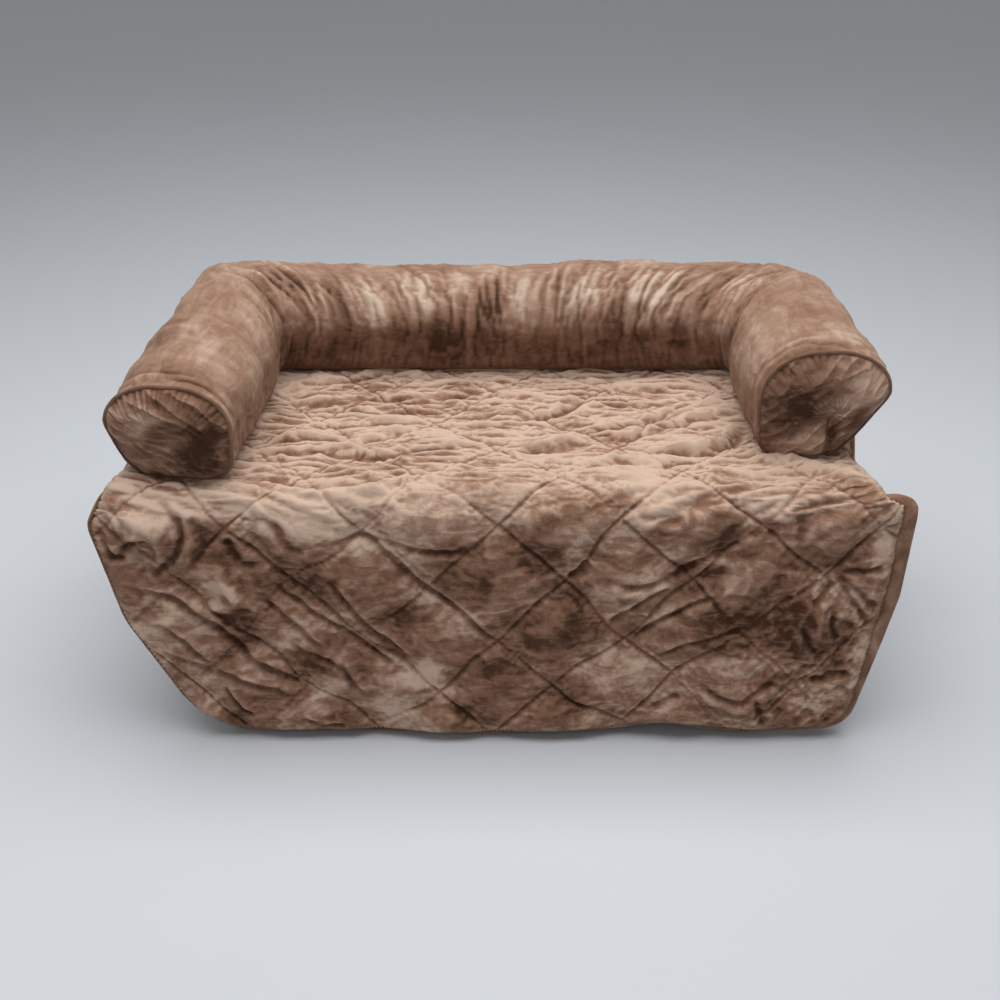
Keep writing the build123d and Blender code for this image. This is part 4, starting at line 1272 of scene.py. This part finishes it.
def pile_group():
    """Short brushed pile: colour, roughness and height from a flat place and a mask of brushing together with
    painted light and shade.
    """
    group, given, out = new_group(
        "brushed_pile",
        [
            ("Place", "NodeSocketVector", None),
            ("Nap", "NodeSocketFloat", 0.0),
            ("Dark", "NodeSocketColor", (0.05, 0.025, 0.016, 1)),
            ("Middle", "NodeSocketColor", (0.25, 0.15, 0.1, 1)),
            ("Light", "NodeSocketColor", (0.5, 0.35, 0.26, 1)),
            ("Contrast", "NodeSocketFloat", 1.0),
        ],
        [("Color", "NodeSocketColor"), ("Roughness", "NodeSocketFloat"), ("Height", "NodeSocketFloat")],
    )
    place = given.outputs["Place"]
    broad = noise_node(group, place, PATCH_SCALE, 5, 0.6, 0.9)
    smear = noise_node(group, stretched(group, place, (0.6, 1.5, 1)), SMEAR_SCALE, 4, 0.6, 1.2)
    tuft = noise_node(group, place, TUFT_SCALE, 3, 0.6, 0.4)
    fibre = noise_node(group, place, FIBRE_SCALE, 2, 0.6)
    # The mask holds the pile's brushed tone and its painted light and shade, a value a point
    total = math_node(group, "MULTIPLY_ADD", given.outputs["Nap"], 0.24, 0.46)
    edged = ramp(group, smear, 0.38, 0.62)
    for value, weight in ((broad, 0.7), (edged, 0.2), (tuft, 0.26), (fibre, 0.30)):
        centred = math_node(group, "SUBTRACT", value, 0.5)
        scaled = math_node(group, "MULTIPLY", centred, weight)
        total = math_node(group, "MULTIPLY_ADD", scaled, given.outputs["Contrast"], total)
    lower, upper = ramp(group, total, 0.1, 0.55), ramp(group, total, 0.45, 0.95)
    dark_side = mixed(group, lower, given.outputs["Dark"], given.outputs["Middle"])
    colour = mixed(group, upper, dark_side, given.outputs["Light"])
    height = math_node(group, "MULTIPLY_ADD", smear, 0.8, math_node(group, "MULTIPLY_ADD", tuft, 0.6, fibre))
    rough = math_node(group, "MULTIPLY_ADD", tuft, 0.15, 0.78)
    fill(group, out, {"Color": colour, "Roughness": rough, "Height": height})
    return group


def woven_group():
    """Plain-woven cloth: two thread tones and a height from a flat place."""
    group, given, out = new_group(
        "plain_weave",
        [
            ("Place", "NodeSocketVector", None),
            ("Threads", "NodeSocketFloat", 900.0),
            ("Warp", "NodeSocketColor", (0.2, 0.13, 0.1, 1)),
            ("Weft", "NodeSocketColor", (0.15, 0.1, 0.08, 1)),
        ],
        [("Color", "NodeSocketColor"), ("Height", "NodeSocketFloat")],
    )
    scaled = group.nodes.new("ShaderNodeVectorMath")
    scaled.operation = "SCALE"
    fill(group, scaled, {0: given.outputs["Place"], "Scale": given.outputs["Threads"]})
    axes = fill(group, group.nodes.new("ShaderNodeSeparateXYZ"), {0: scaled.outputs[0]}).outputs
    across, along = (math_node(group, "SINE", math_node(group, "MULTIPLY", axes[k], math.pi)) for k in (0, 1))
    over = math_node(group, "MULTIPLY_ADD", math_node(group, "MULTIPLY", across, along), 0.5, 0.5)
    wear = noise_node(group, given.outputs["Place"], 30.0, 4, 0.6)
    share = math_node(group, "MULTIPLY_ADD", math_node(group, "SUBTRACT", wear, 0.5), 0.9, over)
    colour = mixed(group, share, given.outputs["Weft"], given.outputs["Warp"])
    fill(group, out, {"Color": colour, "Height": over})
    return group


def new_material(name):
    """An empty material with its Principled shader."""
    material = bpy.data.materials.new(name)
    material.use_nodes = True
    return material, material.node_tree, material.node_tree.nodes["Principled BSDF"]


def attribute(tree, name, output):
    """What a mesh keeps under a name, a value a point."""
    node = tree.nodes.new("ShaderNodeAttribute")
    node.attribute_name = name
    return node.outputs[output]


def bumped(tree, height, distance):
    """A Bump node's Normal, from a height and how far that stands out."""
    values = {"Height": height, "Distance": distance, "Strength": 1.0}
    return fill(tree, tree.nodes.new("ShaderNodeBump"), values).outputs[0]


def pile_material(name, colours, contrast, pile):
    """Brushed short-pile plush from its dark, middle and light tones."""
    material, tree, shader = new_material(name)
    node = tree.nodes.new("ShaderNodeGroup")
    node.node_tree = pile
    values = {socket: (*colour, 1) for socket, colour in zip(("Dark", "Middle", "Light"), colours)}
    values |= {"Nap": attribute(tree, "nap", "Fac"), "Place": attribute(tree, "flat", "Vector")}
    made = fill(tree, node, values | {"Contrast": contrast}).outputs
    fill(tree, shader, {
        "Base Color": made["Color"], "Roughness": made["Roughness"], "Specular IOR Level": 0.08,
        "Sheen Weight": 0.22, "Sheen Roughness": 0.45, "Sheen Tint": (0.9, 0.66, 0.5, 1),
        "Normal": bumped(tree, made["Height"], 0.0011),
    })
    return material


def cloth_material(name, warp, weft, threads, weave, own_place=False):
    """Plain-woven cloth from its two thread colours and its threads a metre."""
    material, tree, shader = new_material(name)
    node = tree.nodes.new("ShaderNodeGroup")
    node.node_tree = weave
    if own_place:
        place = tree.nodes.new("ShaderNodeTexCoord").outputs["Object"]
    else:
        place = attribute(tree, "flat", "Vector")
    values = {"Place": place, "Threads": threads, "Warp": (*warp, 1), "Weft": (*weft, 1)}
    made = fill(tree, node, values).outputs
    fill(tree, shader, {
        "Base Color": made["Color"], "Roughness": 0.85, "Specular IOR Level": 0.25,
        "Normal": bumped(tree, made["Height"], 0.0002),
    })
    return material


def worn_material(name, colour, metal, roughness):
    """Small moulded or cast pieces: a slightly uneven colour and polish."""
    material, tree, shader = new_material(name)
    place = tree.nodes.new("ShaderNodeTexCoord").outputs["Object"]
    grain = noise_node(tree, place, 420.0, 4, 0.6)
    dull = tuple(c * 0.6 for c in colour)
    fill(tree, shader, {
        "Base Color": mixed(tree, grain, (*dull, 1), (*colour, 1)),
        "Roughness": math_node(tree, "MULTIPLY_ADD", grain, 0.25, roughness),
        "Metallic": metal, "Normal": bumped(tree, grain, 0.00012),
    })
    return material


# What a user would change


class PetBedQuilt(bpy.types.PropertyGroup):
    puff: bpy.props.FloatProperty(
        name="Puff", description="How far each quilted square stands above its stitches",
        default=0.0105, min=0.004, max=0.02, unit="LENGTH",
    )
    stitch_depth: bpy.props.FloatProperty(
        name="Stitch depth", description="How far the stitch lines lie below the flat face",
        default=0.0075, min=0.002, max=0.016, unit="LENGTH",
    )


class PetBedBolster(bpy.types.PropertyGroup):
    gather: bpy.props.FloatProperty(
        name="Gathers", description="How far the gathered folds stand out of the roll",
        default=0.010, min=0.0, max=0.014, unit="LENGTH",
    )


class PetBedColours(bpy.types.PropertyGroup):
    dark: bpy.props.FloatVectorProperty(
        name="Pile, against the nap", description="The plush's darkest tone",
        default=(0.064, 0.027, 0.014), min=0, max=1, subtype="COLOR",
    )
    middle: bpy.props.FloatVectorProperty(
        name="Pile", description="The plush's own tone",
        default=(0.290, 0.155, 0.100), min=0, max=1, subtype="COLOR",
    )
    light: bpy.props.FloatVectorProperty(
        name="Pile, with the nap", description="The plush's lightest tone",
        default=(0.64, 0.468, 0.360), min=0, max=1, subtype="COLOR",
    )
    backing: bpy.props.FloatVectorProperty(
        name="Backing cloth", description="The cloth on the topper's underside",
        default=(0.030, 0.020, 0.016), min=0, max=1, subtype="COLOR",
    )


class PetBedStage(bpy.types.PropertyGroup):
    floor: bpy.props.FloatVectorProperty(
        name="Floor", description="The pale floor's colour",
        default=(0.62, 0.65, 0.69), min=0, max=1, subtype="COLOR",
    )
    overhead: bpy.props.FloatProperty(
        name="Overhead lamp", description="The power of the broad lamp above",
        default=62.0, min=0, unit="POWER",
    )
    front: bpy.props.FloatProperty(
        name="Front lamp", description="The power of the soft lamp in front",
        default=5.0, min=0, unit="POWER",
    )
    sky: bpy.props.FloatProperty(
        name="Room light", description="The strength of the light from all round",
        default=0.22, min=0,
    )


FINISHES = {}


def finishes():
    """The materials by the name of their slot, made once."""
    if FINISHES:
        return FINISHES
    colours = bpy.context.scene.pet_bed_colours
    pile, weave = pile_group(), woven_group()
    tones = [np.array(c) for c in (colours.dark, colours.middle, colours.light)]
    back = np.array(colours.backing)

    def shaded(*shares):
        return [tone * np.array(share) for tone, share in zip(tones, shares)]

    bolster = shaded((1.05, 1.13, 1.17), (1.04, 1.11, 1.15), (0.98, 1.04, 1.07))
    for slot, name, shades, contrast in (
        ("plush", "brushed plush", tones, 1.0),
        ("plush_bolster", "brushed plush, bolster", bolster, 0.55),
        # The end caps: a darker copy of the plush, painted shade on the arms' front faces
        ("plush_cap", "brushed plush, end caps", shaded(0.80, 0.73, (0.74, 0.68, 0.66)), 1.0),
        ("plush_base", "brushed plush, base", shaded(0.9, 0.85, 0.8), 0.6),
        ("edge_band", "brushed plush, edge band", shaded(0.95, 0.9, 0.85), 0.9),
        ("piping", "brushed plush, piping", shaded(0.9, 0.8, 0.8), 0.8),
    ):
        FINISHES[slot] = pile_material(name, shades, contrast, pile)
    for slot, name, warp, weft, threads in (
        ("backing", "backing cloth", back * 1.3, back * 0.8, 700.0),
        ("grip_cloth", "grip cloth", back * 0.9, back * 0.5, 500.0),
        ("zip_tape", "zip tape", tones[1] * 0.5, tones[1] * 0.32, 1200.0),
    ):
        FINISHES[slot] = cloth_material(name, warp, weft, threads, weave, slot != "backing")
    FINISHES["zip_teeth"] = worn_material("zip teeth", (0.045, 0.026, 0.018), 0.0, 0.4)
    FINISHES["zip_metal"] = worn_material("zip metal", (0.20, 0.15, 0.11), 0.9, 0.35)
    return FINISHES


class PETBED_OT_topper(bpy.types.Operator):
    """Make the quilted topper, its edge band and its backing"""

    bl_idname = "pet_bed.topper"
    bl_label = "Topper"

    def execute(self, context):
        made = finishes()
        build_quilt(context.scene.pet_bed_quilt, made["plush"])
        build_band(made["edge_band"])
        build_backing(made["backing"])
        return {"FINISHED"}


class PETBED_OT_bolster(bpy.types.Operator):
    """Make the stuffed roll, its end caps and their piping"""

    bl_idname = "pet_bed.bolster"
    bl_label = "Bolster"

    def execute(self, context):
        made = finishes()
        build_roll(context.scene.pet_bed_bolster, made["plush_bolster"])
        for side in (-1, 1):
            build_cap(side, made["plush_cap"])
            build_piping(side, made["piping"])
        return {"FINISHED"}


class PETBED_OT_base(bpy.types.Operator):
    """Make the base's cover and finish its grip cloth"""

    bl_idname = "pet_bed.base"
    bl_label = "Base"

    def execute(self, context):
        made = finishes()
        build_base_cover(made["plush_base"])
        finish_node("base_bottom_panel", made["grip_cloth"])
        return {"FINISHED"}


class PETBED_OT_zips(bpy.types.Operator):
    """Finish both zips"""

    bl_idname = "pet_bed.zips"
    bl_label = "Zips"

    def execute(self, context):
        made = finishes()
        for zip_name in ("bolster_zip", "base_zip"):
            finish_node(f"{zip_name}_tape", made["zip_tape"])
            finish_node(f"{zip_name}_teeth", made["zip_teeth"])
            for part in ("stops", "slider", "pull"):
                finish_node(f"{zip_name}_{part}", made["zip_metal"])
        return {"FINISHED"}


def finish_node(name, finish):
    """Gives a piece of the frame its finish."""
    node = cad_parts[name]
    node.data.materials.clear()
    node.data.materials.append(finish)


class PETBED_OT_stage(bpy.types.Operator):
    """Make the floor, the lamps, the room light and the camera"""

    bl_idname = "pet_bed.stage"
    bl_label = "Stage"

    def execute(self, context):
        own = context.scene.pet_bed_stage
        build_floor(own.floor)
        build_lamp("overhead", (0.0, -0.1, 2.3), (0, 0, 0), (2.6, 2.2), own.overhead)
        build_lamp("front", (-0.9, -2.6, 1.5), (math.radians(62), 0, math.radians(-18)), (2.0, 1.6), own.front)
        build_world(own.sky)
        build_camera()
        context.scene.view_settings.view_transform = "Standard"
        return {"FINISHED"}


def build_floor(colour):
    """A plain pale floor, which rides on no body of the bed."""
    reach = 14.0
    corners = [(-reach, -reach, 0), (reach, -reach, 0), (reach, reach, 0), (-reach, reach, 0)]
    floor = add_mesh("floor", corners, [(0, 1, 2, 3)])
    material, tree, shader = new_material("floor")
    place = tree.nodes.new("ShaderNodeTexCoord").outputs["Object"]
    cloud = noise_node(tree, place, 1.3, 4, 0.6)
    shade = tuple(c * 0.94 for c in colour)
    fill(tree, shader, {"Base Color": mixed(tree, cloud, (*shade, 1), (*colour, 1)), "Roughness": 0.75})
    floor.data.materials.append(material)


def build_lamp(name, place, turn, size, power):
    """A broad rectangular lamp."""
    data = bpy.data.lights.new(name, "AREA")
    data.shape, data.size, data.size_y, data.energy = "RECTANGLE", *size, power
    lamp = bpy.data.objects.new(name, data)
    lamp.location, lamp.rotation_euler = place, turn
    bpy.context.scene.collection.objects.link(lamp)


def build_world(strength):
    """Even light from all round, seen as white by the camera and in gloss and glass."""
    world = bpy.data.worlds.new("room")
    bpy.context.scene.world = world
    world.use_nodes = True
    tree = world.node_tree
    path = tree.nodes.new("ShaderNodeLightPath")
    seen = math_node(tree, "MAXIMUM", path.outputs["Is Camera Ray"], path.outputs["Is Glossy Ray"])
    seen = math_node(tree, "MAXIMUM", seen, path.outputs["Is Transmission Ray"])
    level = math_node(tree, "MULTIPLY_ADD", seen, 1 - strength, strength)
    fill(tree, tree.nodes["Background"], {"Color": (1, 1, 1, 1), "Strength": level})


def build_camera():
    """The camera where the photograph was taken from."""
    data = bpy.data.cameras.new("camera")
    data.sensor_width = 36.0
    data.lens = FOCAL_PX / IMAGE_SIZE * data.sensor_width
    camera = bpy.data.objects.new("camera", data)
    camera.location = CAMERA_PLACE
    camera.rotation_euler = (math.pi / 2 - CAMERA_PITCH, 0, 0)
    bpy.context.scene.collection.objects.link(camera)
    bpy.context.scene.camera = camera


class PETBED_PT_panel(bpy.types.Panel):
    """The bed's sizes and colours, and a button for each group of pieces"""

    bl_label = "Pet bed"
    bl_idname = "PETBED_PT_panel"
    bl_space_type = "VIEW_3D"
    bl_region_type = "UI"
    bl_category = "Pet bed"

    def draw(self, context):
        scene = context.scene
        for own in (scene.pet_bed_quilt, scene.pet_bed_bolster, scene.pet_bed_colours, scene.pet_bed_stage):
            for name in own.bl_rna.properties.keys():
                if name not in ("rna_type", "name"):
                    self.layout.prop(own, name)
        for operator in OPERATORS:
            self.layout.operator(operator.bl_idname)


SETTINGS = {
    "pet_bed_quilt": PetBedQuilt,
    "pet_bed_bolster": PetBedBolster,
    "pet_bed_colours": PetBedColours,
    "pet_bed_stage": PetBedStage,
}
OPERATORS = (PETBED_OT_stage, PETBED_OT_topper, PETBED_OT_bolster, PETBED_OT_base, PETBED_OT_zips)


def register():
    for made in (*SETTINGS.values(), *OPERATORS, PETBED_PT_panel):
        bpy.utils.register_class(made)
    for name, made in SETTINGS.items():
        setattr(bpy.types.Scene, name, bpy.props.PointerProperty(type=made))


def unregister():
    for name in SETTINGS:
        delattr(bpy.types.Scene, name)
    for made in (PETBED_PT_panel, *reversed(OPERATORS), *reversed(SETTINGS.values())):
        bpy.utils.unregister_class(made)


def main():
    register()
    bpy.ops.pet_bed.stage()
    bpy.ops.pet_bed.topper()
    bpy.ops.pet_bed.bolster()
    bpy.ops.pet_bed.base()
    bpy.ops.pet_bed.zips()


if __name__ == "__main__":
    main()
